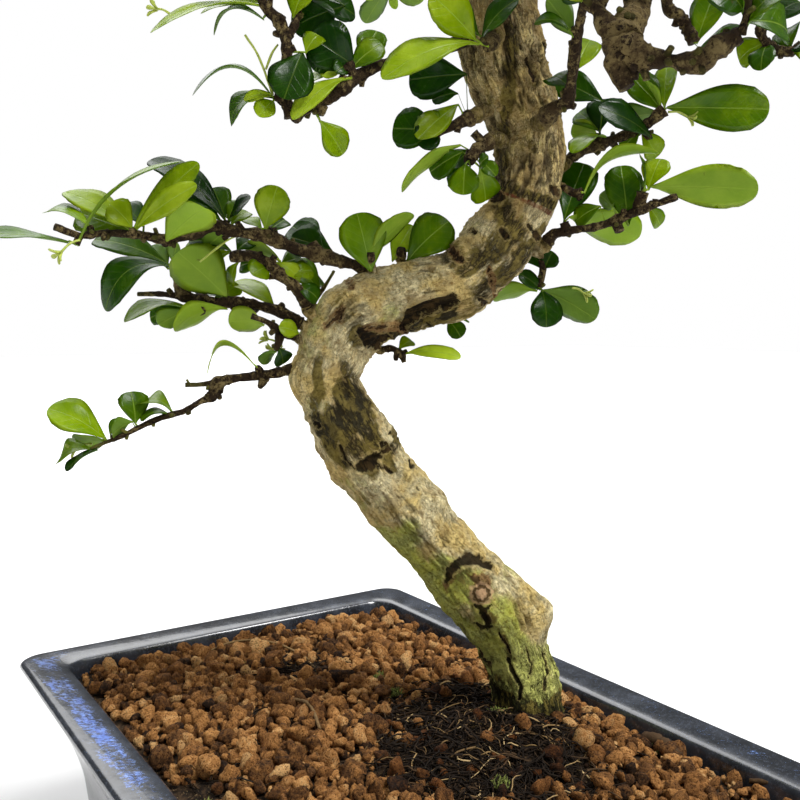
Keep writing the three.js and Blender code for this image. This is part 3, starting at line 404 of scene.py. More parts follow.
class Shader:
    """Builds the node tree of one material, or of the surroundings."""

    def __init__(self, owner: bpy.types.Material | bpy.types.World) -> None:
        """Starts an empty tree.

        Args:
            owner: The material or world whose tree it is.
        """
        owner.use_nodes = True
        self.owner = owner
        self.tree = owner.node_tree
        self.tree.nodes.clear()

    @classmethod
    def named(cls, name: str) -> "Shader":
        """Starts a new material of that name."""
        return cls(bpy.data.materials.new(name))

    def _add(
        self, kind: str, settings: Mapping[str, object] | None, inputs: Mapping[int | str, object] | None
    ) -> bpy.types.Node:
        """Adds a node, applies its settings and then fills its sockets.

        Args:
            kind: The node's type.
            settings: Its own settings. "stops" holds a ramp's stops, as pairs of place and colour.
            inputs: A value or a wire for each socket, by name or number.

        Returns:
            The node.
        """
        made = self.tree.nodes.new(kind)
        for key, value in (settings or {}).items():
            if key == "stops":
                self._set_stops(made, value)
            else:
                setattr(made, key, value)
        for key, value in (inputs or {}).items():
            if isinstance(value, Wire):
                self.tree.links.new(value.socket, made.inputs[key])
            else:
                made.inputs[key].default_value = value
        return made

    def node(
        self,
        kind: str,
        settings: Mapping[str, object] | None = None,
        inputs: Mapping[int | str, object] | None = None,
        output: int | str = 0,
    ) -> Wire:
        """Adds a node of any kind and gives the wire from one of its outputs."""
        return Wire(self, self._add(kind, settings, inputs).outputs[output])

    @staticmethod
    def _set_stops(made: bpy.types.Node, stops: Sequence[tuple[float, Color]]) -> None:
        """Gives a colour ramp its stops.

        Args:
            made: The ramp's node.
            stops: Pairs of place and colour.
        """
        elements = made.color_ramp.elements
        while len(elements) < len(stops):
            elements.new(1.0)
        for element, (place, color) in zip(elements, stops):
            element.position = place
            element.color = color

    def place(self) -> Wire:
        """Object coordinates, in metres."""
        return self.node("ShaderNodeTexCoord", output="Object")

    def axis(self, vector: Wire, name: str) -> Wire:
        """One of the numbers X, Y and Z of a vector."""
        return self.node("ShaderNodeSeparateXYZ", {}, {0: vector}, name)

    def attribute(self, name: str) -> Wire:
        """The three numbers that the piece keeps under that name."""
        return self.node("ShaderNodeAttribute", {"attribute_name": name}, output="Vector")

    def three(self, vector: Wire) -> tuple[Wire, ...]:
        """The three numbers of a vector."""
        return tuple(self.axis(vector, name) for name in "XYZ")

    def stretched(self, vector: Wire, scale: tuple[float, float, float]) -> Wire:
        """A vector with each of its numbers scaled."""
        return self.node("ShaderNodeVectorMath", {"operation": "MULTIPLY"}, {0: vector, 1: scale})

    def noise(self, vector: Wire, scale: float, detail: float = 4.0, rough: float = 0.55) -> Wire:
        """Layered noise from 0 to 1."""
        inputs = {"Vector": vector, "Scale": scale, "Detail": detail, "Roughness": rough}
        return self.node("ShaderNodeTexNoise", {}, inputs, 0)

    def cells(self, vector: Wire, scale: float) -> Wire:
        """Distance to the nearest of scattered points."""
        return self.node("ShaderNodeTexVoronoi", {}, {"Vector": vector, "Scale": scale}, "Distance")

    def colors(self, value: Wire, stops: Sequence[tuple[float, Color]]) -> Wire:
        """A colour from a ramp."""
        return self.node("ShaderNodeValToRGB", {"stops": stops}, {0: value})

    def mix(self, factor: Wire | float, first: Wire | Color, second: Wire | Color) -> Wire:
        """One colour changing to another as factor goes from 0 to 1."""
        settings = {"data_type": "RGBA"}
        return self.node("ShaderNodeMix", settings, {0: factor, 6: first, 7: second}, 2)

    def darker(self, factor: Wire | float, color: Wire, by: Color) -> Wire:
        """A colour multiplied by another in the share that factor gives."""
        settings = {"data_type": "RGBA", "blend_type": "MULTIPLY"}
        return self.node("ShaderNodeMix", settings, {0: factor, 6: color, 7: by}, 2)

    def bump(self, height: Wire, distance: float, strength: float = 1.0) -> Wire:
        """A normal from heights; distance is in metres."""
        inputs = {"Height": height, "Distance": distance, "Strength": strength}
        return self.node("ShaderNodeBump", {}, inputs, "Normal")

    def finish(self, **inputs: object) -> bpy.types.Material:
        """Ends the tree in one Principled shader.

        Args:
            inputs: Values or wires for its sockets, with spaces in their names written as underscores.

        Returns:
            The finished material.
        """
        named = {key.replace("_", " "): value for key, value in inputs.items()}
        return self.end(self.node("ShaderNodeBsdfPrincipled", {}, named))

    def end(self, surface: Wire, output: str = "ShaderNodeOutputMaterial") -> bpy.types.Material:
        """Joins a surface shader to the output of that type."""
        self._add(output, None, {"Surface": surface})
        return self.owner

    def blend(self, factor: Wire | float, first: Wire, second: Wire) -> Wire:
        """One surface shader changing to another as factor goes from 0 to 1."""
        return self.node("ShaderNodeMixShader", {}, {0: factor, 1: first, 2: second})


# Tables


def rows(text: str) -> list[list[float]]:
    """Reads a table of numbers, with spaces between the numbers and commas between the rows."""
    return [[float(number) for number in row.split()] for row in text.split(",")]


@dataclass(frozen=True)
class Growth:
    """What grows on one branch, all of it as right, away and up in millimetres.

    Attributes:
        stem: Rows of the stem's stations, each with its radius.
        twigs: The same for each side twig, with semicolons between the twigs.
        leaves: Rows of foot, tip, width, turn about the leaf's own length in degrees, arch and, for some, how
            pale it is.
        sprays: How many shoots grow along the stem, their reach and the seed of their random draw.
    """

    stem: str
    twigs: str = ""
    leaves: str = ""
    sprays: tuple[int, int, int] | None = None

    def runs(self) -> list[Array]:
        """The stations of the stem and then of each twig."""
        parts = [self.stem, *(self.twigs.split(";") if self.twigs else [])]
        return [np.array(rows(part)) for part in parts]


@dataclass(frozen=True)
class Bud:
    """A small green star on its stalk, or a bare stalk where it has no rays.

    Attributes:
        root: Where the stalk leaves its twig, as right, away and up.
        tip: Where it ends.
        rays: How many pointed rays the star has.
    """

    root: Station
    tip: Station
    rays: int = 5


@dataclass(frozen=True)
class Gash:
    """A scar in the bark.

    Attributes:
        line: Rows of right, up and half width.
        depth: How deep it is.
        lift: How far its rim stands out.
        dark: How dark it is, from 0 to 1.
        rust: How rusty it is, from 0 to 1.
    """

    line: str
    depth: float
    lift: float
    dark: float
    rust: float


@dataclass(frozen=True)
class Stain:
    """A dark patch along a line of (right, up, half width) and how strong it is."""

    line: str
    strength: float


def nearness(line: str, right: Array, up: Array) -> Array:
    """Says how near points lie to a line of (right, up, half width).

    It is 1 on the line, falls to 0 at its half width and goes on below 0.

    Args:
        line: The rows of the line's points.
        right: The points' places to the right.
        up: The points' heights.

    Returns:
        The greatest nearness to any part of the line.
    """
    best = np.full(np.shape(right), -np.inf)
    points = rows(line)
    for first, second in zip(points, points[1:] or points):
        step = np.subtract(second[:2], first[:2])
        share = ((right - first[0]) * step[0] + (up - first[1]) * step[1]) / (step @ step + 1e-9)
        share = np.clip(share, 0.0, 1.0)
        apart = np.hypot(right - first[0] - share * step[0], up - first[1] - share * step[1])
        best = np.maximum(best, 1.0 - apart / (first[2] + share * (second[2] - first[2])))
    return best


# Stations of the trunk: right, away, up and radius.
TRUNK_STATIONS = rows("""
    55 15 64 12.6, 54 15 74 12.8, 52 15 88 13, 48 15 105 12.8, 38 14 125 14.8, 20 12 146 12.7,
    4 10 165 13.3, -8 9 180 13.4, -16 8 193 13.2, -21 8 204 11.3, -24 8 211 11.3, -22 9 218 12,
    -19 10 226 13.1, -12 12 234 13.9, -2 14 239 13.1, 10 16 243 13.3, 24 17 246 12.6, 34 17 254 12.2,
    40 16 262 13.6, 46 15 271 12.5, 49 14 280 12.8, 50 13 293 13, 49 12 302 13.2, 45 10 312 13.9,
    41 8 321 14.5, 38 6 333 14.9, 35 4 344 15.3, 33 3 358 14.2, 36 5 373 12.2, 43 8 389 9.8, 50 9 404 7.6,
    52 7 419 5.6, 49 4 434 3.8, 47 3 446 2.4""")

# Knobs, old cuts and swellings of the skin: right, away, up, height of the swelling and its spread.
TRUNK_KNOBS = rows("""
    59 12 122 2.6 5, 36 1 132 1.8 4, 33 0 143 1.2 4, 19 1 168 2 5, 8 -1 163 1.4 4, -12 -2 242 1.6 4,
    -18 -2 231 1.6 4, 24 8 259 1.6 4, 46 -4 318 1.4 4, 53 -2 326 1.6 4, -26 0 196 1.5 5, 28 15 96 1.5 5,
    22 26 243 2 6, 56 24 300 2.2 6, 2 22 170 2 6, 58 10 125 4.8 6.5, 2 2 192.5 4 5, 12 3 190 1.6 4,
    19 5 171 2.5 4, 19 4 186 1.2 3, -21.8 6 174 1.8 3, -6.7 4 159.4 1.6 3, 2.6 2 150.9 1.5 3,
    8.4 3 142 1.6 3, 24 4 113 1.5 4, 38 2 98 1.6 5, -34 4 212 1.4 4, -32 4 228 1.5 4, -24 4 243 1.8 4,
    4 4 254 1.4 4, 34 6 240 2 4, 48 5 250 1.8 4, 60 5 277 1.2 4, 34 4 284 1.4 4, 33 0 322 1.2 4,
    50 -6 336 1.4 5, 46 2 84 2.2 6, 62 6 80 1.4 6, 43 0 76 2.6 6, 56 -2 74 2.2 7, -9 -2 236 1.5 4,
    12 2 252 1.4 5, 24 2 254 1.2 4""")

# What grows on each branch, by the name of its node.
BRANCHES: dict[str, Growth] = {
    "branch_lower_left": Growth(
        stem="""
            -36 6 215 2, -40 3 214 1.9, -46 1 213 1.8, -56 -1 212 1.5, -61 -2 210 2.7, -63 -3 206 1.9,
            -67 -4 204 1.2, -72 -6 201 1.1, -79 -8 199 1, -86 -10 196 1, -92 -12 193 1, -97 -14 191 0.8,
            -102 -15 189 0.5""",
        twigs="""
            -61 -2 211 1.1, -67 -3 210 0.8, -72 -4 210 0.8; -46 1 214 1.4, -47 -1 216 1.1; -45 1 212 2,
            -46 -2 209 1.2""",
        leaves="""
            -97 -14 192 -115 -18 203 15 -39 2 0.75, -96 -13 193 -94 -12 199 3 59 1,
            -88 -10 197 -90 -8 208 11 -11 1, -76 -7 201 -89 -3 202 11 -16 4,
            -77 -7 200 -86 -11 198 10 -11 2, -89 -11 198 -94 -17 194 9 63 1,
            -98 -14 192 -110 -5 188 11 31 1, -100 -15 189 -109 -20 182 8 -8 1,
            -102 -15 189 -115 -10 184 10 -42 3, -48 -1 217 -63 -9 214 6 26 10 0.95""",
    ),
    "branch_middle_left": Growth(
        stem="""
            -33 4 232 2.1, -40 2 236 2, -48 2 238 1.8, -55 2 239 1.9, -63 3 239 1.9, -68 4 240 2.1,
            -74 5 241 1.9, -82 6 242 1, -91 7 242 0.8""",
        twigs="""
            -74 5 241 2.7, -75 6 246 2.5, -77 7 250 1.8; -68 4 239 2.1, -68 1 236 2.3; -40 2 236 1.4,
            -38 0 238 1.1""",
        leaves="""
            -79 7 252 -100 -2 236 13.5 -49 11 0.22, -80 7 253 -109 15 262 12 -45 3 0.35,
            -57.7 2.4 240.8 -72.5 -8.6 255.9 20 52 1 0.75, -58 2 240 -70 11 243 9 -15 1,
            -41 2 237 -59 14 246 12 -20 3 0.9, -71 1 237 -92 -7 232 11 -21 4 0.6,
            -72 1 236 -83 4 231 10 42 1, -58 2 237 -76 -2 229 13 36 3 0.85, -78 7 253 -78 14 261 6 -131 1,
            -59.6 2.6 253.2 -72.5 6.6 260.2 9 -50 1 0.6, -79.9 7 251.3 -88.1 14 259.7 9 -27 1 0.5,
            -62.8 3 239.8 -54.5 9 245 8 50 1 0.8, -73.3 5 237.7 -87.6 10 233.4 9 -73 1 0.25""",
    ),
    "branch_inner_left": Growth(
        stem="-30 2 238 2.1, -33 -1 244 2.2, -39 -3 249 2.3, -42 -3 252 1.9, -48 -1 255 2.1, -56 1 255 2.1",
        twigs="-42 -3 252 1.4, -40 -3 255 1",
        leaves="""
            -56 1 257 -70 -3 260 10 -50 2 0.3, -38 -3 253 -52 6 258 9 49 2 0.85,
            -38 -3 252 -32 11 255 8 38 1, -43 -3 251 -47 -10 248 9 -50 1, -54 1 253 -57 5 245 7 -100 1,
            -54 1 257 -50 6 261 8 39 1, -44.7 -2.2 252.9 -53.3 2.8 251.8 8 -70 1 0.3,
            -39.7 -3 252.8 -31.9 1 246.1 7 70 2 0.85, -33.1 -1.1 244.6 -25.6 1.9 239.8 8 70 2 0.25,
            -35.7 -2.2 248 -27.8 3.8 250.4 8 55 1 0.6, -56.4 1 256.6 -65.4 3 253.2 7 -72 1 0.7""",
    ),
    "branch_bend_twig": Growth(
        stem="-28 17 240 1, -24 18 246 0.7, -21 19 251 0.5",
        leaves="-26 17 242 -38 18 254 11 -54 3, -24 18 245 -33 24 249 7 63 1, -27 17 241 -34 25 245 7 69 1",
    ),
    "branch_long_left": Growth(
        stem="""
            -11 13 252 2.3, -14 11 253 2.3, -19 7 254 2.3, -26 4 256 2.9, -34 0 258 1.9, -41 -4 261 2.8,
            -47 -7 262 2.1, -55 -11 263 2, -59 -14 264 1.9, -64 -17 262 2.1, -72 -22 259 1.6,
            -81 -27 260 1.4, -89 -32 260 1.2, -95 -36 259 1.2, -97 -38 259 1.1, -102 -42 261 1""",
        twigs="""
            -96 -37 259 1.2, -97 -38 256 1.4; -93 -34 259 1.1, -94 -34 262 1.1; -82 -28 260 1.3,
            -82 -29 262 1; -73 -22 259 1.6, -73 -24 257 1.2; -42 -4 261 2.4, -42 -6 264 1.7;
            -55 -11 263 1.7, -56 -10 266 1.2; -26 4 256 2.8, -28 4 260 1.8""",
        leaves="""
            -99 -39 257 -124 -49 258 10 -21 1, -97 -38 256 -64 -34 282 6.5 15 6 0.6,
            -94 -34 262 -110 -28 267 9 -22 3 0.6, -82 -29 261 -105 -24 274 12 -31 2 0.75,
            -83 -29 261 -103 -18 268 14 -59 1 0.55, -82 -29 262 -88 -33 269 10 -78 1,
            -82 -29 261 -60 -31 282 8.5 81 2 0.7, -81.3 -28.7 261.3 -58.8 -39.7 273.9 8 87 2 0.85,
            -73.1 -23.3 258 -56.7 -38.3 267.1 15 -29 2 0.9, -56 -10 267 -83 -2 288 13 -38 4 0.06,
            -56 -10 267 -61 -5 278 10 -27 1 0.3, -57 -10 266 -71 -14 272 11 -46 2,
            -55 -10 266 -46 -17 273 8 58 1, -54 -10 265 -49 -3 270 7 30 1, -44 -6 264 -52 0 268 7 -21 1,
            -43 -6 264 -38 -9 278 12.5 119 1 0.75, -42 -5 263 -37 3 268 8 37 1,
            -24 5 258 -36 15 267 14 -53 1 0.2, -55 -11 263 -64 -2 258 8 25 1,
            -20.8 6 257.3 -35.9 10 262.6 13 -70 1 0.15, -54.9 -10 265.9 -50.3 -7 273.3 6 35 2 0.4,
            -79.1 -26.2 262.8 -87.8 -20.2 270.6 9 -30 1 0.15,
            -61.3 -15.4 263.3 -69.2 -9.4 271.3 10 -39 1 0.45, -51 -9.1 264.6 -58.6 -1.1 272.3 8 -25 1 0.7""",
    ),
    "branch_bend_spurs": Growth(
        stem="-7 7 255 1.6, -7 6 257 1.4",
        leaves="-6.9 7 249.9 -11.8 5 270.6 17 -105 1 0.55, -7 7 255 8 2 270 11.5 -21 2 0.8",
    ),
    "branch_bend_shoot": Growth(
        stem="4 15 257 1.8, 4 14 259 1.6",
        leaves="""
            0.6 14.3 254.3 8 19.3 267.9 10 43 1 0.85, 6.1 14.5 254.3 21.5 15.5 268.9 16 76 3 0.5,
            7 15 258 18 24 261 9 16 2""",
    ),
    "branch_small_left": Growth(
        stem="-35 2 227 1.6, -39 -1 229 1.6, -43 -4 232 1, -48 -6 234 0.9",
        twigs="-39 -1 228 1.8, -39 -3 225 1.4, -40 -4 222 0.8",
        leaves="""
            -44 -4 231 -57 -1 232 12 57 2 0.9, -32.5 2 228.1 -38.8 -4 230.3 7 -80 1 0.8,
            -39 -4 223 -38 -1 217 8 121 1, -40 -4 222 -45 -2 217 7 20 1""",
    ),
    "branch_upper_left": Growth(
        stem="""
            25 -2 328 2.1, 17 -6 324 2, 10 -10 322 2, 4 -14 319 1.9, 0 -16 317 1.8, -6 -19 314 1.8,
            -11 -22 310 2.2, -17 -25 305 2, -22 -27 302 2.5, -27 -29 299 2, -30 -31 296 2.5""",
        twigs="""
            -31 -31 296 2.2, -32 -31 300 1.8, -34 -31 303 1.6, -32 -31 314 1.6, -32 -31 319 1.9,
            -34 -31 325 2.1, -38 -32 329 1.7, -41 -33 335 0.9, -46 -33 341 0.6; -22 -27 301 2.5,
            -23 -27 298 2.2; -11 -22 310 1.9, -13 -22 315 1.6; -32 -31 301 1.3, -36 -32 302 0.9;
            -32 -31 320 1.6, -29 -29 326 1.1, -27 -26 335 0.8, -23 -24 341 0.6""",
        leaves="""
            -27 -31 316 -32 -38 300 14.5 -42 1 0.08, -11 -22 314 -25 -27 322 18 -97 1 0.02,
            -9 -20 315 -4 -16 327 10 49 1 0.5, -14 -25 332 -31 -23 326 13 -87 1 0.03,
            -36 -32 302 -60 -38 301 8 -21 9 0.35, -36 -32 302 -50 -29 294 10 -52 5,
            -36 -32 301 -40 -37 295 7 -51 1 0.75, -22 -27 296 -15 -23 286 10 91 1 0.7,
            -12 -25 310 -29.4 -37 294 9 -30 3 0.9, -15 -22 312 -28 -18 307 7 -49 3 0.8,
            -14 -22 316 -25 -17 317 8 -35 2, -14 -22 314 -17 -27 311 6 -56 1,
            -39 -32 326 -55 -28 322 7.5 -35 6 0.3, -39 -32 330 -72 -40 319 7 -30 4 0.85,
            -39 -32 331 -60 -24 330 7 -46 2 0.85, -30 -29 327 -26 -26 337 9 35 1,
            -26 -31 316 -22 -28 322 8 46 1, -27 -26 334 -11 -19 331 12 67 2 0.05,
            -25 -25 338 -16 -29 344 13 82 2, -27 -26 335 -35 -29 343 12 -79 2,
            -43 -33 339 -52 -31 347 12 -42 2, -45 -33 340 -38 -36 348 12 82 2,
            -43 -33 337 -56 -36 337 12 -50 3, -35.9 -32 302.4 -44.8 -35 300.4 4 -71 2 0.9,
            -12.6 -22 313 -2.3 -20 321.7 9 77 2 0.55, -15.8 -22 313 -21.3 -26 310 5 -62 1 0.85""",
    ),
    "branch_front_knob": Growth(
        stem="34 -14 325 3, 32 -20 321 2.3",
        leaves="""
            29 -20 322 -2 -34 307 13 -45 4 0.85, 28 -20 323 13 -30 334 14.5 -100 1 0.8,
            30 -18 324 41 -26 334 10 75 2, 29 -19 325 17 -15 335 12 -73 1""",
    ),
    "branch_left_stub": Growth(
        stem="27 -1 302 2.8, 22 -5 299 1.7, 17 -9 296 1.4, 14 -11 294 1.2",
        leaves="""
            23.5 -1.9 306.9 9.5 -15.9 292.3 10 -37 1 0.75, 17 -9 296 1 -5 298 15 -82 1 0.2,
            17 -9 296 9 -15 291 10 -62 1, 25.8 -8.1 315.3 6.6 -0.1 315.4 15 -93 1 0.03,
            23.5 -1 310.8 14.6 1 308.9 6.5 -75 1 0.05, 15.6 -9.9 295.2 11.7 -6.9 303.1 8 -45 1 0.6""",
    ),
    "branch_left_spur": Growth(
        stem="34 0 294 2.6, 30 -3 291 2.3, 27 -6 287 2.2",
        twigs="32 -2 294 1.7, 29 -3 297 1.7",
        leaves="""
            24 -3 293 4 -13 276 10.5 38 2 0.9, 25 -6 290 14 0 284 11 -87 1 0.3,
            26 -6 286 25 -9 275 11 -6 1 0.5, 31 -5 285 33 -14 287 5 100 1, 31 -5 285 34 7 275 11 148 1,
            28 -4 291 22 5 286 9 -99 1, 27.5 -6 285.2 21.6 -1 277.8 9 -103 1 0.25,
            30.3 -4.5 287.5 36.2 -7.5 281.6 6 52 1 0.5""",
    ),
    "branch_right_lower": Growth(
        stem="""
            58 15 262 2.4, 60 13 264 2, 66 10 265 1.4, 74 6 266 1.4, 80 4 268 1.8, 85 1 270 1.6,
            93 -2 273 1.3, 99 -5 275 1.3""",
        twigs="64 11 265 1.7, 63 11 268 1.7; 87 1 271 2, 88 -1 277 2.3; 80 4 268 1.8, 81 2 264 2",
        leaves="""
            63 11 269 72 23 291 15 26 1 0.25, 84 2 266 83 10 288 14 -15 1 0.35,
            65 11 270 94 25 264 17 -43 2 0.8, 79 3 272 76 13 278 7 94 1, 90 -1 278 95 2 289 10 29 1 0.75,
            89 -1 279 88 4 291 9 52 1, 91 -1 279 123 -15 276 15.5 -69 2 0.8,
            74.6 5.1 273.1 67.3 13.1 268.3 9 -83 1 0.5, 90.1 -1 272.3 95.5 3 265.9 7 105 1 0.6""",
    ),
    "branch_trunk_spur_right": Growth(
        stem="63 10 280 1.2, 66 8 278 1.6, 68 6 278 1.8",
        leaves="69 6 278 93 -3 290 7.5 -19 8 0.85",
    ),
    "branch_right_upper": Growth(
        stem="65 17 291 2.2, 70 19 295 2.3, 76 20 297 2.4, 82 20 299 2.1, 92 19 303 1.9, 100 17 309 2.3",
        twigs="76 20 297 1.8, 77 19 301 1.5; 92 18 303 1.6, 95 17 299 1.1",
        leaves="""
            101 17 310 136 11 308 17 95 1 0.5, 99 17 309 88 21 323 12 -73 1 0.4,
            99 17 310 89 11 320 8 -29 1 0.7, 100 17 310 103 26 327 9 -12 1,
            99 17 308 86 31 308 11 34 1.5 0.4, 96 17 299 74 8 308 12 -70 2 0.03,
            92 18 302 99 22 293 10 102 1, 80 20 300 65 8 292 10 -13 3 0.6, 76 19 301 68 28 303 10 59 2,
            77 19 302 80 25 315 12 4 1, 77 19 302 71 29 311 10 -47 1,
            78.4 19 312.4 60.1 25 321.8 12 -75 2 0.2, 91.6 18.2 301.5 86.3 23.2 295.9 9 -87 1 0.45""",
    ),
    "branch_front_twig": Growth(
        stem="""
            53 -8 301 3, 54 -14 302 2.7, 57 -19 303 2.2, 58 -22 304 1.9, 58 -27 309 1.7, 58 -31 315 1.9,
            58 -36 320 1.7, 58 -41 324 1.4, 58 -46 328 1.2, 59 -52 333 0.9""",
        twigs="58 -31 315 1.6, 57 -33 319 1.2",
        leaves="""
            59 -28 311 65 -20 323 10 28 1, 58 -24 307 54 -14 313 10 -34 1 0.2,
            55 -37 321 45 -34 324 8 -43 2, 58 -44 327 50 -49 331 10 -98 1, 58 -46 329 67 -42 336 11 46 2,
            58 -51 332 52 -55 339 12 -92 2, 59 -52 333 63 -49 343 12 13 2, 57 -36 319 49 -32 332 9 64 1""",
    ),
    "branch_behind_bend": Growth(
        stem="57 21 254 1.5, 57 22 250 1.2, 56 22 245 1.2",
        leaves="""
            57 22 244 58 17 230 13 3 2 0.12, 57 22 244 78 25 233 16 -48 2 0.4,
            55 22 244 39 25 240 12 28 2 0.65, 58 21 252 60 17 258 9 120 1 0.1,
            56.6 22 244 48 20 250.2 7 -75 1 0.08, 57.6 21.6 251.4 51.9 24.6 258.4 8 -48 1 0.15""",
    ),
    "branch_under_bend": Growth(
        stem="-2 15 222 1.5, 1 15 222 1.4, 4 15 220 1.5, 5 15 217 0.9",
        leaves="5.4 15 220.5 25.8 10 219.2 7 49 2 0.95, 3 15 222 8 20 225 6 37 1",
    ),
    "branch_under_leaf": Growth(
        stem="20 29 236 1.3, 22 31 233 1.1",
        leaves="22 31 233 27 29 226 8 55 1, 21 31 234 30 40 233 8 35 1",
    ),
    "branch_front_crown": Growth(
        stem="""
            44 -13 353 5.2, 50 -30 352 4.8, 58 -52 346 4.4, 64 -74 337 4.2, 63 -88 312 3.3, 60 -92 305 4.2,
            58 -94 300 4.7, 62 -97 296 3.6, 65 -99 295 2.4, 69 -101 294 1.8, 74 -104 293 3.1,
            78 -106 296 2.8, 82 -108 298 1.6""",
        twigs="""
            57 -94 300 3.9, 57 -95 294 2.9, 59 -96 289 2; 58 -94 301 3.7, 54 -93 305 2.5, 52 -92 309 2,
            49 -91 311 1.7; 63 -88 311 3, 65 -92 315 2, 65 -94 320 1.5; 82 -108 298 1.2, 83 -109 303 0.9,
            83 -110 309 0.8""",
        leaves="""
            83 -108 300 94 -115 306 13 50 3, 83 -108 301 96 -100 301 10 75 2,
            83 -110 309 89 -116 314 13 80 2, 83 -110 309 78 -104 320 13 -35 2,
            83 -110 309 84 -112 320 12 105 2, 65 -94 319 57 -98 325 12 -90 2, 66 -94 320 76 -89 328 12 45 2,
            65 -94 320 65 -92 331 12 5 2, 49 -91 311 44 -95 316 11 -95 2, 82 -109 303 71 -115 306 11 -85 2""",
    ),
    "branch_crown_right": Growth(
        stem="55 6 380 4.6, 74 11 388 4, 94 14 388 3.4, 113 12 381 2.8, 124 8 374 2.1, 130 5 367 1.5",
        twigs="""
            98 14 387 2.2, 101 12 368 2, 98 10 345 2.1, 102 9 340 2.1, 105 8 335 2, 107 7 330 2.3;
            124 9 375 2, 133 4 353 1.8, 128 1 335 1.6, 130 -1 327 1.7, 136 -3 324 1.7, 140 -4 326 1.4""",
        leaves="""
            108 7 330 116 12 350 13 30 1, 109 7 328 122 2 334 8 40 1, 130 -1 328 123 7 324 11 -85 2,
            137 -3 325 139 2 334 12 -35 2, 129 1 335 121 -3 343 12 -110 2, 129 1 334 144 7 344 13 45 2,
            140 -4 326 140 -18 324 12 55 2, 140 -4 326 141 -12 316 12 0 2, 130 -1 327 126 -6 317 9 0 2""",
        sprays=(2, 9, 84),
    ),
    "branch_crown_left": Growth(
        stem="19 -4 367 4.4, 4 -9 379 4, -16 -13 386 3.4, -38 -16 386 2.6, -58 -17 380 1.8",
        sprays=(4, 17, 13),
    ),
    "branch_crown_back": Growth(
        stem="32 21 363 4.6, 29 38 374 4.2, 22 58 382 3.4, 12 78 383 2.4, 4 94 378 1.6",
        sprays=(5, 17, 29),
    ),
    "branch_crown_back_right": Growth(
        stem="51 16 384 3.8, 62 31 396 3.2, 73 44 402 2.4, 80 53 401 1.6",
        sprays=(4, 16, 37),
    ),
    "branch_crown_front_left": Growth(
        stem="40 -7 392 3.6, 28 -24 404 3, 14 -42 410 2.2, 2 -58 408 1.5",
        sprays=(4, 16, 43),
    ),
    "branch_crown_front_right": Growth(
        stem="58 2 402 3, 74 -16 412 2.4, 90 -34 414 1.8, 104 -48 409 1.2",
        sprays=(4, 16, 53),
    ),
    "branch_crown_top_left": Growth(
        stem="40 12 428 2.8, 26 20 440 2.2, 10 26 446 1.4",
        sprays=(3, 15, 61),
    ),
    "branch_apex": Growth(
        stem="47 3 450 2, 48 2 462 1.5, 52 0 474 1",
        sprays=(4, 14, 71),
    ),
}

# Buds and bare flower stalks, by the name of their branch's node: root; tip; number of rays.
BUDS: dict[str, tuple[Bud, ...]] = {
    "branch_lower_left": (Bud((-102.6, -12, 190.1), (-108.6, -12, 188.4)),),
    "branch_long_left": (Bud((-95.8, -38, 257.3), (-100.6, -42, 253)),),
    "branch_inner_left": (
        Bud((-39, 6, 223), (-44.5, 6, 225.9)),
        Bud((-38, 6, 222), (-42.7, 6, 221.9), 4),
        Bud((-43, -6, 263.2), (-64.3, -12, 252.3), 0),
    ),
    "branch_right_lower": (Bud((67.9, 20, 244.7), (72.8, 20, 242.4)),),
    "branch_right_upper": (Bud((101.1, 16, 308.2), (108.8, 15, 305.8)),),
    "branch_upper_left": (
        Bud((-67.9, -32, 327.2), (-72.2, -32, 328.7)),
        Bud((-36.6, -29, 303.4), (-45, -30, 321.5), 0),
        Bud((-38.6, -30, 311), (-34.7, -30, 318.6), 0),
    ),
}

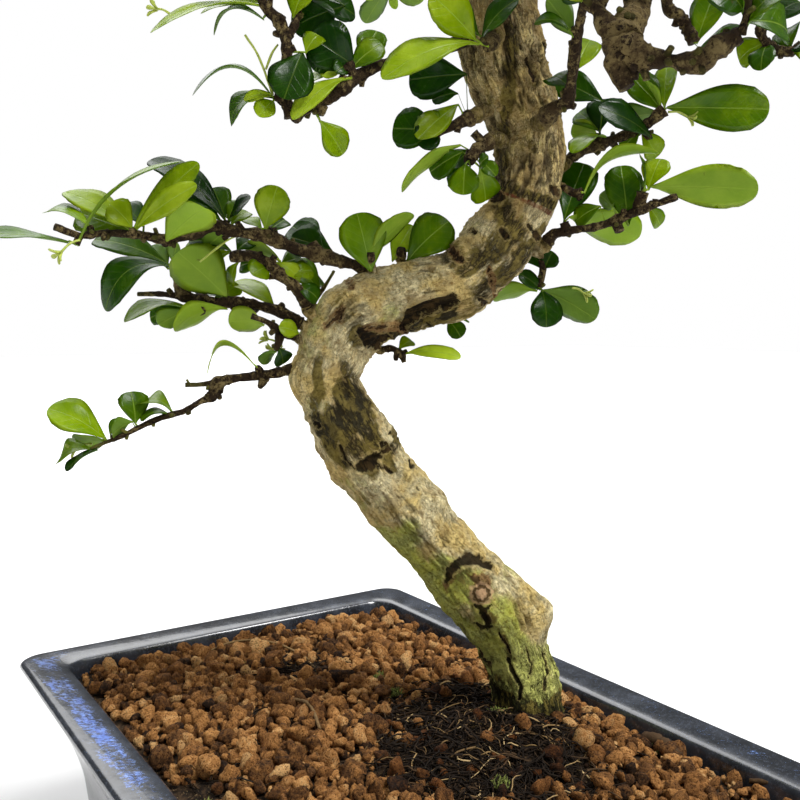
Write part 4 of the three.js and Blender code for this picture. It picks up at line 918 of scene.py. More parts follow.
# Scars on the trunk's face: line of right, up and half width; depth, rim, darkness and rust.
GASHES: tuple[Gash, ...] = (
    Gash("43.2 108.5 0.7, 44.6 104.5 0.9, 45.6 102.5 0.7, 47.9 98.3 0.9, 47.5 93.6 0.6", 0.9, 0.3, 1, 0),
    Gash("57.2 108.7 0.6, 57.9 102.2 0.8, 56.4 96.8 0.6", 0.8, 0.3, 0.9, 0),
    Gash("32.7 110.3 0.6, 33.9 106.3 0.8, 37 104.7 0.6", 0.8, 0.3, 0.9, 0),
    Gash("39.6 119.2 0.5, 42.8 113.5 0.7, 44.2 111 0.5", 0.7, 0.2, 0.8, 0),
    Gash("50.5 112.5 0.5, 52 106 0.7, 51 101 0.5", 0.6, 0.2, 0.7, 0),
    Gash(
        "20.1 138.3 0.8, 21.5 142.2 1.5, 24.8 145.1 1.9, 29.1 146.4 1.8, 33.4 145.1 1.6, 36.7 142.6 0.8",
        1, 0.8, 1, 0.2,
    ),
    Gash("20.1 136.8 1.1, 22.2 139 1.1", 0.4, 0.4, 0.2, 0.8),
    Gash("32.7 134.7 2.2", -0.7, 0, 0, 0.35),
    Gash("30.5 140.1 1.3, 33.8 138.6 2.5", -0.8, 0.3, 0.25, 0.75),
    Gash("30.2 129.6 0.9, 34.5 128.9 1.3, 37.4 130.3 0.7", 0.5, 0.3, 0.8, 0.3),
    Gash("33.4 127.1 1.3, 35.2 124.2 1.3", 0.9, 0.4, 1, 0),
    Gash("30.9 122.4 1.1, 33.8 121.3 1.4, 37 122 0.9", 0.9, 0.6, 1, 0.2),
    Gash(
        "4.6 230.6 1.8, 7.5 234.5 2.5, 12.2 237 2.5, 17.2 238.8 2.7, 22.2 239.9 2.5, 24.8 238.5 0.7",
        1.7, 0.8, 1, 0,
    ),
    Gash("-10.2 228.8 1.4, -7 225.2 2.9, -1.5 225.2 2.2", 1, 0.5, 0.95, 0),
    Gash("-8.8 229.8 1.1, -3.7 230.6 1.8, 2.8 230.9 1.6, 5.3 228.8 1.1", -0.2, 0.3, 0.45, 0.95),
    Gash("-22.5 231.3 1.4, -19.2 234.2 2, -17 236.7 1.6, -17.4 233.1 1.4", 0.6, 0.5, 0.5, 0.9),
    Gash("-15.6 247.5 0.9, -13.8 245 1.6", 0.4, 0.4, 0.4, 0.8),
    Gash("21.9 258.3 1.1, 23.3 255.4 2.5, 25.9 253.6 1.4", 0.5, 0.8, 0.6, 0.7),
    Gash("35.2 251.5 0.7, 35.9 247.9 1.3, 37 244.3 1.1, 38.5 242.1 0.5", 0.8, 0.4, 0.4, 1),
    Gash("35.9 278.5 0.9, 38.1 276.3 2.2", 0.8, 0.5, 0.95, 0),
    Gash("43.9 271.7 1.8", -0.9, -0.4, 0.3, 0.2),
    Gash("43.9 271.7 0.7", 0.5, 0.3, 0.7, 0.2),
    Gash("57.6 278.1 2.2", 0.4, 0.8, 0.8, 0.4),
    Gash("46.8 320.7 1.1, 48.2 317.8 1.6, 49.3 314.6 1.1", 0.6, 0.4, 0.65, 0.7),
    Gash("52.9 327.5 1.4, 54.7 323.9 2", 0.7, 0.6, 0.85, 0.3),
    Gash("45.3 346.3 2.5", 0.6, 0.8, 0.6, 0.5),
    Gash("-10.2 181.2 2.2, -7.3 182.6 2.7, -4.5 184.6 1.6", 1.6, 1, 1, 0),
    Gash("-5.2 185.2 0.8, 0.6 187.3 0.9", 0.7, 0.3, 0.7, 0),
    Gash("-4.5 181.5 0.8, 0.6 178.7 0.9", 0.7, 0.3, 0.65, 0),
    Gash("-13 181 0.8, -16 184 0.9, -18 188.5 0.8", 0.7, 0.3, 0.65, 0),
    Gash("8.2 180.8 1.8", 1, 0.5, 0.85, 0),
    Gash("9.6 172.5 1.1", 0.5, 0.8, 0.6, 0.1),
    Gash("9.3 166 1.4", -0.3, 0.4, 0.35, 0.3),
    Gash("3.5 197.4 1.8", -0.6, 0.4, 0.1, 0.2),
    Gash("-2.3 189.1 1.4", 0.9, 0.5, 0.85, 0),
    Gash("0.6 193.1 1.1", 0.6, 0.4, 0.5, 0.2),
    Gash("39.5 264.4 1.4, 41.7 261.6 1.1", 0.7, 0.5, 0.7, 0.1),
    Gash("30.2 264.1 1.4", 0.6, 0.6, 0.6, 0.2),
    Gash("49.3 265.9 1.1, 51.4 263 1.4", 0.6, 0.5, 0.7, 0.1),
    Gash("32.3 239.9 1.1, 36.7 237.8 1.1", 0.5, 0.4, 0.7, 0.3),
    Gash("-29.3 197.4 1.4, -25.3 195.2 1.1", 0.9, 0.6, 0.8, 0),
    Gash("12.5 99.3 1.8, 15 95 1.4", 0.8, 0.6, 0.8, 0.1),
    Gash("28.7 110.2 1.1, 30.2 105.8 1.1", 0.7, 0.4, 0.8, 0),
)

# Dark patches on the trunk's face: line of right, up and half width, and strength.
STAINS: tuple[Stain, ...] = (
    Stain("31 97 7, 36 91.5 7, 45 88.5 6.5, 54 87 6, 62 88.5 5.5", 1),
    Stain("1.4 197 2.2, 3.5 191 2.2, 1 186.5 2", 0.75),
    Stain("-3 188.5 2.5, 0.5 180.5 2.5", 0.8),
    Stain("-16 207.5 4, -13.8 202.4 6.1, -17 197.4 6.5, -22.5 193.8 3.6", 1.3),
    Stain("-10.2 197.4 4.7, -5.9 190.9 3.6", 0.9),
    Stain("-26.1 198.1 2.9, -21.7 189.5 3.6, -16.3 183 3.2", 0.85),
    Stain("-13.8 189.5 4.7, -8.8 185.1 3.2", 0.8),
    Stain("1.3 227.7 3.2, 10.7 234.2 4.7, 20.8 235.6 4", 1.1),
    Stain("-10.9 227 4, -0.8 225.5 3.2", 1),
    Stain("25.9 250 2.9, 31.6 253.6 4.7, 37.7 258 5.4, 43.9 263.4 5.4, 40.6 271.3 4.7", 0.75),
    Stain("33.1 242.8 4.3, 40.3 248.6 4, 47.5 255.8 3.6, 54.7 264.4 2.9", 0.75),
    Stain("39.5 279.6 3.2, 46.8 276.7 2.2, 56.9 273.8 2.2", 0.8),
    Stain("-18.9 234.5 4.7", 0.55),
    Stain("22.2 255.4 4.7", 0.8),
    Stain("-26.1 218.3 2.2, -24.6 209.3 2.5, -26.8 202.1 2.2", 0.6),
    Stain("-16.3 216.5 3.6, -13.8 211.1 2.9", 0.65),
    Stain("38.5 340.9 2.2, 41.4 326.5 2.5, 40.6 312 2.5, 39.5 297.6 2.2, 38.5 283.2 2.9", 0.7),
    Stain("48.2 322.8 2.2, 49.3 313.8 2.2", 0.55),
    Stain("54 326.5 2.2", 0.55),
    Stain("49.6 294 1.4, 51.1 285 1.4", 0.5),
    Stain("25.1 142.6 5", 0.6),
    Stain("35.2 125.3 3.2", 0.7),
    Stain("39.5 97.2 5", 0.6),
    Stain("47.8 84.2 5.8", 0.7),
    Stain("-9.8 167.8 3.2", 0.5),
    Stain("-6.6 181.2 4", 0.7),
    Stain("41.4 117.4 1.8, 45 106.5 1.8", 0.55),
    Stain("17.9 117.4 2.2, 23.3 102.9 2.2", 0.55),
)


def rgb(red: float, green: float, blue: float) -> Color:
    """A linear colour from display values of 0 to 255: ((v+0.055)/1.055)^2.4 above the toe, v/12.92 in it.

    Args:
        red: The colour's red.
        green: Its green.
        blue: Its blue.

    Returns:
        The colour, opaque.
    """
    shares = [value / 255.0 for value in (red, green, blue)]
    linear = [v / 12.92 if v <= 0.04045 else ((v + 0.055) / 1.055) ** 2.4 for v in shares]
    return (linear[0], linear[1], linear[2], 1.0)


# Finishes


@dataclass(frozen=True)
class GlazeFinish:
    """Charcoal glaze with a band of feathery cobalt crystals on the rim, over bare clay below.

    Attributes:
        body: The glaze's own colour.
        pale: Where it is thin.
        cobalt: The crystals' darker blue.
        sky: Their lighter blue.
        clay: The bare clay of the feet.
        rim_top: Heights in millimetres between which the rim's face begins.
        clay_line: Heights between which the glaze ends.
        rim_start: How far from the middle, in metres, the long sides of the rim begin.
        blue_middle: Where along the near side the crystals are thickest, in metres.
    """

    body: Color = rgb(24, 27, 32)
    pale: Color = rgb(80, 86, 98)
    cobalt: Color = rgb(56, 92, 184)
    sky: Color = rgb(128, 164, 222)
    clay: Color = rgb(96, 82, 72)
    rim_top: tuple[float, float] = (82.6, 84.0)
    clay_line: tuple[float, float] = (8.5, 7.0)
    rim_start: tuple[float, float] = (0.076, 0.084)
    blue_middle: float = -0.07

    def material(self) -> bpy.types.Material:
        """Builds the material; "mark" holds inset, way round and height in millimetres.

        Returns:
            The material.
        """
        shader = Shader.named("charcoal_glaze")
        mark = shader.attribute("mark")
        inset, _, height = shader.three(mark)
        place = shader.place()
        x, y, _ = shader.three(place)
        top, bare = height.over(*self.rim_top), height.over(*self.clay_line)
        cloud = shader.noise(place, 60.0, 5.0)
        mottled = shader.noise(place, 700.0, 5.0, 0.7)
        share_pale = cloud.over(0.35, 0.75) * 0.45 + mottled.over(0.52, 0.62) * 0.3
        base = shader.mix(share_pale, self.body, self.pale)
        drift = shader.noise(shader.stretched(mark, (0.16, 0.06, 0.0)), 1.0, 4.0, 0.6)
        crystals = shader.noise(shader.stretched(mark, (0.5, 1.1, 0.3)), 1.0, 9.0, 0.85)
        near_side = (0.0 - y).over(*self.rim_start) * (x - self.blue_middle).size().over(0.11, 0.05)
        elsewhere = y.over(*self.rim_start) * 0.2 + 0.06
        edge = (inset - 9.0 + (drift - 0.5) * 8.0).size()
        share = edge.over(7.0, 2.0) * top * (near_side + elsewhere)
        streak = (crystals + share * 0.16 + (drift - 0.5) * 0.5).over(0.64, 0.74) * share.over(0.03, 0.3)
        tint = shader.mix(crystals.over(0.48, 0.66), self.cobalt, self.sky)
        blue = shader.mix(streak, base, tint)
        flecks = shader.noise(place, 1500.0, 2.0, 0.8).over(0.68, 0.74) * top
        flecked = shader.mix(flecks * 0.55, blue, self.sky)
        color = shader.mix(bare, flecked, self.clay)
        rough = 0.14 + cloud * 0.14 + bare * 0.6 + streak * 0.15
        dents = shader.noise(place, 140.0, 3.0) + shader.noise(place, 2400.0, 2.0) * 0.04
        normal = shader.bump(dents, 0.00045, 0.5)
        return shader.finish(Base_Color=color, Roughness=rough, Normal=normal, Coat_Weight=0.4)


@dataclass(frozen=True)
class ScreenFinish:
    """Black plastic of the drain screens."""

    body: Color = rgb(26, 28, 27)
    worn: Color = rgb(48, 50, 48)

    def material(self) -> bpy.types.Material:
        """Builds the material from two scales of noise.

        Returns:
            The material.
        """
        shader = Shader.named("screen_plastic")
        place = shader.place()
        wear = shader.noise(place, 300.0, 4.0)
        color = shader.mix(wear.over(0.5, 0.7), self.body, self.worn)
        normal = shader.bump(shader.noise(place, 2500.0, 2.0), 0.0001, 0.4)
        return shader.finish(Base_Color=color, Roughness=0.45 + wear * 0.3, Normal=normal)


@dataclass(frozen=True)
class GrainFinish:
    """Baked clay grains, from dark brown to orange, each with its own tone and a rough face."""

    stops: tuple[tuple[float, Color], ...] = (
        (0.0, rgb(40, 26, 15)),
        (0.2, rgb(96, 66, 40)),
        (0.42, rgb(142, 98, 55)),
        (0.65, rgb(190, 134, 76)),
        (0.85, rgb(216, 160, 98)),
        (1.0, rgb(226, 180, 120)),
    )
    pore: Color = rgb(96, 72, 56)
    wet: Color = rgb(150, 132, 118)

    def material(self) -> bpy.types.Material:
        """Builds the material; "tone" holds each grain's own shade and how damp it is.

        Returns:
            The material.
        """
        shader = Shader.named("clay_grains")
        place = shader.place()
        shade, damp, _ = shader.three(shader.attribute("tone"))
        mottle = shader.noise(place, 420.0, 8.0, 0.78)
        color = shader.colors(shade + (mottle - 0.5) * 1.9, self.stops)
        pores = shader.noise(place, 1500.0, 4.0, 0.75)
        pitted = shader.darker(pores.over(0.50, 0.36), color, self.pore)
        wet = shader.darker(damp, pitted, self.wet)
        normal = shader.bump(mottle * 0.6 + pores * 0.4, 0.0034)
        rough = 0.92 - damp * 0.2
        return shader.finish(Base_Color=wet, Roughness=rough, Normal=normal, Specular_IOR_Level=DULL_GLOSS)


@dataclass(frozen=True)
class PeatFinish:
    """Dark peat between the grains, with pale fibres."""

    dark: Color = rgb(24, 18, 13)
    warm: Color = rgb(78, 60, 42)
    fibre: Color = rgb(168, 140, 98)

    def material(self) -> bpy.types.Material:
        """Builds the material from clods and stretched fibres.

        Returns:
            The material.
        """
        shader = Shader.named("peat")
        place = shader.place()
        clods = shader.noise(place, 260.0, 6.0, 0.7)
        first = shader.noise(shader.stretched(place, (500.0, 2600.0, 900.0)), 1.0, 3.0)
        second = shader.noise(shader.stretched(place, (2400.0, 420.0, 900.0)), 1.0, 3.0)
        fibres = first.over(0.64, 0.7) + second.over(0.66, 0.72)
        base = shader.mix(clods.over(0.4, 0.7), self.dark, self.warm)
        color = shader.mix(fibres * 0.6, base, self.fibre)
        normal = shader.bump(clods + fibres * 0.1, 0.0012)
        return shader.finish(Base_Color=color, Roughness=0.97, Normal=normal, Specular_IOR_Level=DULL_GLOSS)


@dataclass(frozen=True)
class StrandFinish:
    """Dry roots and twigs on the soil, each with its own shade."""

    stops: tuple[tuple[float, Color], ...] = (
        (0.0, rgb(24, 18, 13)),
        (0.55, rgb(72, 54, 36)),
        (0.8, rgb(136, 110, 72)),
        (1.0, rgb(190, 164, 118)),
    )

    def material(self) -> bpy.types.Material:
        """Builds the material; "tone" holds the strand's shade.

        Returns:
            The material.
        """
        shader = Shader.named("dry_roots")
        place = shader.place()
        tone = shader.axis(shader.attribute("tone"), "X")
        mottle = shader.noise(place, 900.0, 4.0, 0.7)
        color = shader.colors(tone + (mottle - 0.5) * 0.4, self.stops)
        normal = shader.bump(mottle, 0.0003, 0.8)
        return shader.finish(Base_Color=color, Roughness=0.9, Normal=normal, Specular_IOR_Level=DULL_GLOSS)


@dataclass(frozen=True)
class MossFinish:
    """Short green moss whose shoots differ in tone."""

    deep: Color = rgb(58, 66, 20)
    fresh: Color = rgb(124, 132, 52)

    def material(self) -> bpy.types.Material:
        """Builds the material; "tone" holds each shoot's shade.

        Returns:
            The material.
        """
        shader = Shader.named("moss")
        tone = shader.axis(shader.attribute("tone"), "X")
        mottle = shader.noise(shader.place(), 1100.0, 4.0)
        color = shader.mix(tone * 0.6 + mottle * 0.4, self.deep, self.fresh)
        normal = shader.bump(mottle, 0.0003, 0.8)
        return shader.finish(Base_Color=color, Roughness=0.85, Normal=normal)


@dataclass(frozen=True)
class BarkFinish:
    """Old tan bark, darker up high and paler towards the foot (partly painted shade and light), olive where
    algae grow on it and nearly black in its cracks.

    Its colours are named for what they tint. The place of the round cut, ring_place, is to the right and up,
    in metres.
    """

    pale: Color = rgb(255, 240, 188)
    tan: Color = rgb(220, 194, 124)
    heart: Color = rgb(222, 180, 136)
    brown: Color = rgb(156, 130, 80)
    umber: Color = rgb(108, 86, 54)
    algae: Color = rgb(190, 200, 76)
    crack: Color = rgb(34, 26, 14)
    soot_and_shade: Color = rgb(16, 14, 3)
    moss: Color = rgb(124, 108, 50)
    bruise: Color = rgb(90, 68, 38)
    rust: Color = rgb(122, 58, 40)
    speck: Color = rgb(176, 156, 118)
    ring_place: tuple[float, float] = (0.0327, 0.1345)

    def material(self) -> bpy.types.Material:
        """Builds the material; "mark" holds cracks, scars and algae, "tone" ridges, rust, and stains with
        painted shade.

        Returns:
            The material.
        """
        shader = Shader.named("old_bark")
        place = shader.place()
        flow = shader.attribute("flow")
        crack, scar, algae = shader.three(shader.attribute("mark"))
        # The third tone holds the stains together with painted shade.
        ridge, rust, stain = shader.three(shader.attribute("tone"))
        up = shader.axis(place, "Z")
        # Painted shade and light: the bark is darker up high and paler towards the foot, partly its own
        # colour.
        high, low = up.over(0.25, 0.29), up.over(0.125, 0.10)
        broad = shader.noise(place, 70.0, 5.0, 0.65)
        flakes = shader.noise(shader.stretched(flow, (0.17, 0.17, 0.11)), 1.0, 8.0, 0.7)
        threads = shader.noise(shader.stretched(flow, (0.5, 0.5, 0.13)), 1.0, 6.0, 0.7)
        cross = shader.noise(shader.stretched(flow, (0.24, 0.24, 0.75)), 1.0, 5.0, 0.7)
        grit = shader.noise(place, 800.0, 5.0, 0.7)
        ragged = (threads - 0.5) * 1.1 + (flakes - 0.5) * 1.3
        split = (threads - 0.5).size().over(0.045, 0.015) * broad.over(0.42, 0.54)
        seam = (cross - 0.5).size().over(0.022, 0.002) * flakes.over(0.45, 0.55)
        lines = split * (high * 0.4 + low * 0.6 + 0.3) + seam * (0.4 + low * 0.3)
        light = shader.mix(broad.over(0.40, 0.60) + low * 0.8, self.tan, self.pale)
        dull = shader.mix(threads.over(0.42, 0.58), self.brown, self.tan)
        base = shader.mix(high * 0.75, light, dull)
        deep = shader.mix(high * 0.6, self.brown, self.umber)
        patched = shader.mix(flakes.over(0.50, 0.41) * (0.62 - low * 0.45), base, deep)
        raised = shader.mix(ridge.over(0.5, 0.9) * flakes.over(0.48, 0.58) * 0.6, patched, self.pale)
        growth = (algae * 1.1 + (broad - 0.5) * 1.6 + (threads - 0.5) * 0.8).over(0.32, 0.92)
        green = shader.mix(growth * 0.75, raised, self.algae)
        speckled = shader.darker(grit.over(0.50, 0.38) * (0.66 - low * 0.5), green, self.speck)
        fleck = (threads * 0.4 + flakes * 0.6).over(0.475, 0.54)
        # Stains, the dark foot and the painted shade all take this near-black murk.
        murk = shader.mix(fleck, self.soot_and_shade, self.moss)
        sooted_and_shaded = shader.mix((stain + ragged * 1.5).over(0.22, 0.70) * 0.95, speckled, murk)
        rusty = shader.mix((rust + ragged).over(0.25, 0.65) * (0.55 + fleck * 0.35), sooted_and_shaded, self.rust)
        lined = shader.mix(lines * 0.9, rusty, self.crack)
        cracked = shader.mix(crack * (high * 0.2 + 0.6), lined, self.crack)
        torn = scar + ragged * 0.8 + (grit - 0.5) * 0.9
        burnt = torn.over(0.30, 0.50) * scar.over(0.0, 0.12)
        rim = torn.over(0.06, 0.24) * scar.over(0.0, 0.12) * (1.0 - burnt)
        rimmed = shader.mix(rim * 0.3, cracked, self.tan)
        char = shader.mix((threads * 0.6 + flakes * 0.4).over(0.48, 0.60) * 0.7, self.crack, self.bruise)
        charred = shader.mix(burnt * 0.95, rimmed, char)
        ring, halo, heart = self._ring(shader, place, flakes, grit)
        bared = shader.mix(halo * 0.75, charred, self.heart)
        ringed = shader.mix(ring * 0.93, bared, self.bruise)
        color = shader.mix(heart * 0.9, ringed, self.heart)
        relief = flakes * 2.0 + threads * 1.6 + cross * 0.6 + grit * 0.5 - lines * 1.4 - burnt - ring * 1.5
        normal = shader.bump(relief, 0.0018)
        rough = 0.82 + grit * 0.12
        return shader.finish(Base_Color=color, Roughness=rough, Normal=normal, Specular_IOR_Level=DULL_GLOSS)

    def _ring(self, shader: Shader, place: Wire, flakes: Wire, grit: Wire) -> tuple[Wire, Wire, Wire]:
        """Masks of the round cut low on the trunk, by the millimetres from its middle as seen from the front.

        Args:
            shader: The bark's shader.
            place: Object coordinates.
            flakes: Noise that frays the ring.
            grit: Finer noise.

        Returns:
            The dark ring, the bared wood round it and the wood inside it.
        """
        x, y, z = shader.three(place)
        right, up = x * COS + y * SIN - self.ring_place[0], z - self.ring_place[1]
        front = (y * COS - x * SIN).over(0.012, 0.006)
        apart = (right * right + up * up * 1.2).power(0.5) * (1.0 / METRES)
        apart = apart + (flakes - 0.5) * 5.0 + (grit - 0.5) * 3.0
        inside, outside = apart.over(2.7, 2.1), apart.over(5.2, 4.2)
        dark = apart.over(3.9, 3.3) * (1.0 - inside)
        return dark * front, outside * front, inside * front


@dataclass(frozen=True)
class TwigFinish:
    """Dark twig bark with grey-brown ridges, green where the shoot is young."""

    dark: Color = rgb(46, 34, 20)
    old: Color = rgb(84, 68, 42)
    grey: Color = rgb(148, 130, 84)
    young: Color = rgb(112, 112, 46)
    pit: Color = rgb(96, 78, 54)

    def material(self) -> bpy.types.Material:
        """Builds the material; "mark" holds ridges, thickness and youth.

        Returns:
            The material.
        """
        shader = Shader.named("twig_bark")
        place = shader.place()
        ridge, thick, youth = shader.three(shader.attribute("mark"))
        fine = shader.noise(place, 900.0, 6.0, 0.75)
        patches = shader.noise(place, 240.0, 5.0, 0.65)
        worn = (ridge * 0.4 + fine * 0.7 + patches * 0.6 + thick * 0.12).over(0.84, 1.08)
        ground = shader.mix(thick * 0.8, self.dark, self.old)
        broad = shader.noise(place, 75.0, 4.0, 0.6)
        dim = shader.mix(broad.over(0.45, 0.6) * thick.over(0.3, 0.9) * 0.85, ground, self.dark)
        base = shader.mix(worn * (0.8 - thick * 0.35), dim, self.grey)
        pitted = shader.darker(fine.over(0.48, 0.36), base, self.pit)
        color = shader.mix(youth, pitted, self.young)
        normal = shader.bump(fine + patches, 0.0014)
        rough = 0.84 - youth * 0.3
        return shader.finish(Base_Color=color, Roughness=rough, Normal=normal, Specular_IOR_Level=DULL_GLOSS)


@dataclass(frozen=True)
class LeafFinish:
    """Glossy leaf skin that lets some light through, with a pale midrib, faint veins and some brown spots."""

    stops: tuple[tuple[float, Color], ...] = (
        (0.0, rgb(14, 44, 2)),
        (0.25, rgb(36, 72, 0)),
        (0.5, rgb(76, 108, 0)),
        (0.75, rgb(124, 148, 0)),
        (1.0, rgb(166, 186, 44)),
    )
    under: Color = rgb(118, 148, 60)
    rib: Color = rgb(150, 176, 60)
    spot: Color = rgb(74, 58, 20)
    dim_glow: Color = rgb(70, 120, 0)
    glow: Color = rgb(158, 200, 2)
    glow_share: float = 0.28

    def material(self) -> bpy.types.Material:
        """Builds the material; "mark" holds millimetres across and along and the underside.

        Returns:
            The material.
        """
        shader = Shader.named("leaf_skin")
        mark = shader.attribute("mark")
        across, along, under = shader.three(mark)
        shade, yellow, _ = shader.three(shader.attribute("tone"))
        place = shader.place()
        cloud = shader.noise(place, 130.0, 5.0, 0.6)
        apart = across.size()
        sweep = ((along - apart * 0.9) * 2.1 + cloud * 2.5).wave()
        vein = sweep.over(0.8, 1.0) * apart.over(0.2, 0.8)
        rib = apart.over(0.34, 0.08)
        fine = shader.cells(shader.stretched(mark, (1.0, 1.0, 0.0)), 1.8)
        face = shader.colors(shade + (cloud - 0.5) * 0.7, self.stops)
        below = shader.mix(under * 0.5, face, self.under)
        aged = shader.mix(yellow * 0.5, below, self.glow)
        seen = shade.over(0.0, 0.5) * 0.75 + 0.25
        veined = shader.mix(vein * seen * 0.08, aged, self.rib)
        ribbed = shader.mix(rib * seen * 0.5, veined, self.rib)
        spots = shader.noise(place, 420.0, 3.0, 0.6).over(0.70, 0.76)
        color = shader.mix(spots * 0.8, ribbed, self.spot)
        normal = shader.bump(fine * 0.04 - vein * 0.2 - rib * 0.8 + cloud * 2.0, 0.0003, 0.5)
        rough = 0.2 + under * 0.3 + cloud * 0.12
        inputs = {"Base Color": color, "Roughness": rough, "Normal": normal, "Specular IOR Level": 0.2}
        skin = shader.node("ShaderNodeBsdfPrincipled", {}, inputs)
        dim, bright = (
            shader.node("ShaderNodeBsdfTranslucent", {}, {"Color": tint})
            for tint in (self.dim_glow, self.glow)
        )
        return shader.end(shader.blend(self.glow_share, skin, shader.blend(shade, dim, bright)))


@dataclass(frozen=True)
class BudFinish:
    """Fresh yellow-green of stalks and stars."""

    deep: Color = rgb(112, 130, 36)
    fresh: Color = rgb(186, 196, 84)

    def material(self) -> bpy.types.Material:
        """Builds the material from noise.

        Returns:
            The material.
        """
        shader = Shader.named("fresh_buds")
        mottle = shader.noise(shader.place(), 800.0, 4.0)
        color = shader.mix(mottle, self.deep, self.fresh)
        normal = shader.bump(mottle, 0.0001, 0.6)
        return shader.finish(Base_Color=color, Roughness=0.5, Normal=normal)


@dataclass(frozen=True)
class FloorFinish:
    """Plain pale floor."""

    body: Color = (0.9, 0.9, 0.9, 1.0)
    dimmer: Color = (0.88, 0.88, 0.88, 1.0)

    def material(self) -> bpy.types.Material:
        """Builds the material, which varies by a hundredth.

        Returns:
            The material.
        """
        shader = Shader.named("pale_floor")
        tone = shader.noise(shader.place(), 3.0, 2.0)
        color = shader.mix(tone * 0.1, self.body, self.dimmer)
        return shader.finish(Base_Color=color, Roughness=0.9)


# The pot


@dataclass(frozen=True)
class Pot:
    """The glazed pot: its wall, rim, floor with two drain holes, and four feet."""

    length: float = 300.0
    width: float = 200.0
    corner_radius: float = 9.0
    corner_steps: int = 8
    long_parts: int = 60
    short_parts: int = 40
    foot_height: float = 6.0
    floor_height: float = 14.0
    drain_radius: float = 8.0
    drain_offset: float = 70.0
    foot_size: tuple[float, float] = (34.0, 22.0)
    foot_middle: tuple[float, float] = (99.0, 66.0)
    foot_bevel: float = 0.8
    foot_sunk: float = 0.6
    midline_parts: int = 24
    profile: tuple[tuple[float, float], ...] = (
        (27, 6), (24, 8), (22.5, 22), (20, 45), (2.5, 79), (0, 82), (0.8, 84), (3, 85), (16, 84.4),
        (18, 82.5), (20, 73), (29, 45), (31, 18), (33, 14),
    )

    def outline(self, inset: Array, height: Array) -> Array:
        """Rounded rectangles at insets from the widest one: four corner arcs joined by even straight parts.

        Args:
            inset: How far inside the widest outline each of them is.
            height: The height of each.

        Returns:
            The points, as outlines by points by three, seen from above against the clock.
        """
        step = np.linspace(0.0, 0.5 * np.pi, self.corner_steps + 1)
        arcs = []
        for quarter, (x, y) in enumerate(((1, 1), (-1, 1), (-1, -1), (1, -1))):
            middle = np.array([x, y]) * (np.array([self.length, self.width]) / 2 - self.corner_radius)
            angle = step + quarter * np.pi / 2
            turned = self.corner_radius * np.stack([np.cos(angle), np.sin(angle)], axis=-1)
            arcs.append(middle + turned - inset[:, None, None] * np.array([x, y]))
        runs = []
        for quarter in range(4):
            parts = self.long_parts if quarter % 2 == 0 else self.short_parts
            share = np.linspace(0.0, 1.0, parts + 1)[1:-1, None]
            start, end = arcs[quarter][:, -1:], arcs[(quarter + 1) % 4][:, :1]
            runs += [arcs[quarter], start + (end - start) * share]
        flat = np.concatenate(runs, axis=1)
        level = np.broadcast_to(height[:, None, None], flat.shape[:2] + (1,))
        return np.concatenate([flat, level], axis=-1)

    def rounded_profile(self) -> Array:
        """The profile with its corners cut to a quarter of each side three times over, its ends kept.

        Returns:
            Rows of inset and height.
        """
        profile = np.array(self.profile, float)
        for _ in range(3):
            near = 0.75 * profile[:-1] + 0.25 * profile[1:]
            far = 0.25 * profile[:-1] + 0.75 * profile[1:]
            inner = np.stack([near, far], axis=1).reshape(-1, 2)
            profile = np.vstack([profile[:1], inner, profile[-1:]])
        return profile

    def _add_plates(self, surface: Surface, wall: Array) -> None:
        """Adds the underside, the floor and the walls of the drain holes, in a left and a right half.

        Args:
            surface: Where they are added.
            wall: The wall's grid, whose first row is the outer edge and whose last is the inner one.
        """
        corner = self.corner_steps + 1
        top = corner - 1 + self.long_parts // 2
        bottom = top + self.long_parts + 2 * (corner - 1) + self.short_parts
        count = wall.shape[1]
        for side, first, last in ((-1, top, bottom), (1, bottom, top + count)):
            columns = np.arange(first, last + 1) % count
            share = np.linspace(0.0, 1.0, self.midline_parts + 1)[1:-1, None]
            loops = []
            for row in (0, -1):
                half = wall[row, columns]
                loops.append(np.vstack([half, half[-1] + (half[0] - half[-1]) * share]))
            middle = np.array([side * self.drain_offset, 0.0, 0.0])
            ray = unit((loops[1] - middle) * np.array([1.0, 1.0, 0.0]))
            ring = middle + ray * self.drain_radius
            high, low = ring + UP * self.floor_height, ring + UP * self.foot_height
            surface.add_grids(np.stack([loops[1], high, low, loops[0]]), wrapped=True)

    def _add_feet(self, surface: Surface) -> None:
        """Adds the four feet, each a block with rounded corners.

        Args:
            surface: Where they are added.
        """
        length, width = self.foot_size
        foot = replace(
            self, length=length, width=width, corner_radius=3.0, corner_steps=4, long_parts=8, short_parts=6
        )
        bevel, top = self.foot_bevel, self.foot_height + self.foot_sunk
        inset = np.array([bevel, bevel, 0.0, 0.0, 0.0])
        block = foot.outline(inset, np.array([0.0, 0.0, bevel, top, top]))
        block[[0, -1], :, :2] = 0.0
        for x, y in itertools.product((-1, 1), repeat=2):
            middle = np.array([x * self.foot_middle[0], y * self.foot_middle[1], 0.0])
            surface.add_grids(block + middle, wrapped=True)

    def build(self) -> bpy.types.Object:
        """Makes the pot's piece.

        Returns:
            The pot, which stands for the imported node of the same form.
        """
        surface = Surface()
        profile = self.rounded_profile()
        wall = self.outline(profile[:, 0], profile[:, 1])
        ring = np.vstack([wall[0], wall[0, :1]])
        around = np.broadcast_to(lengths_along(ring)[:-1], wall.shape[:2])
        inset = np.broadcast_to(profile[:, :1], wall.shape[:2])
        mark = np.stack([inset, around, wall[..., 2]], axis=-1)
        surface.add_grids(wall, wrapped=True, mark=mark)
        self._add_plates(surface, wall)
        self._add_feet(surface)
        return surface.piece("glazed_pot", [GlazeFinish().material()], "pot", "pot_glaze")


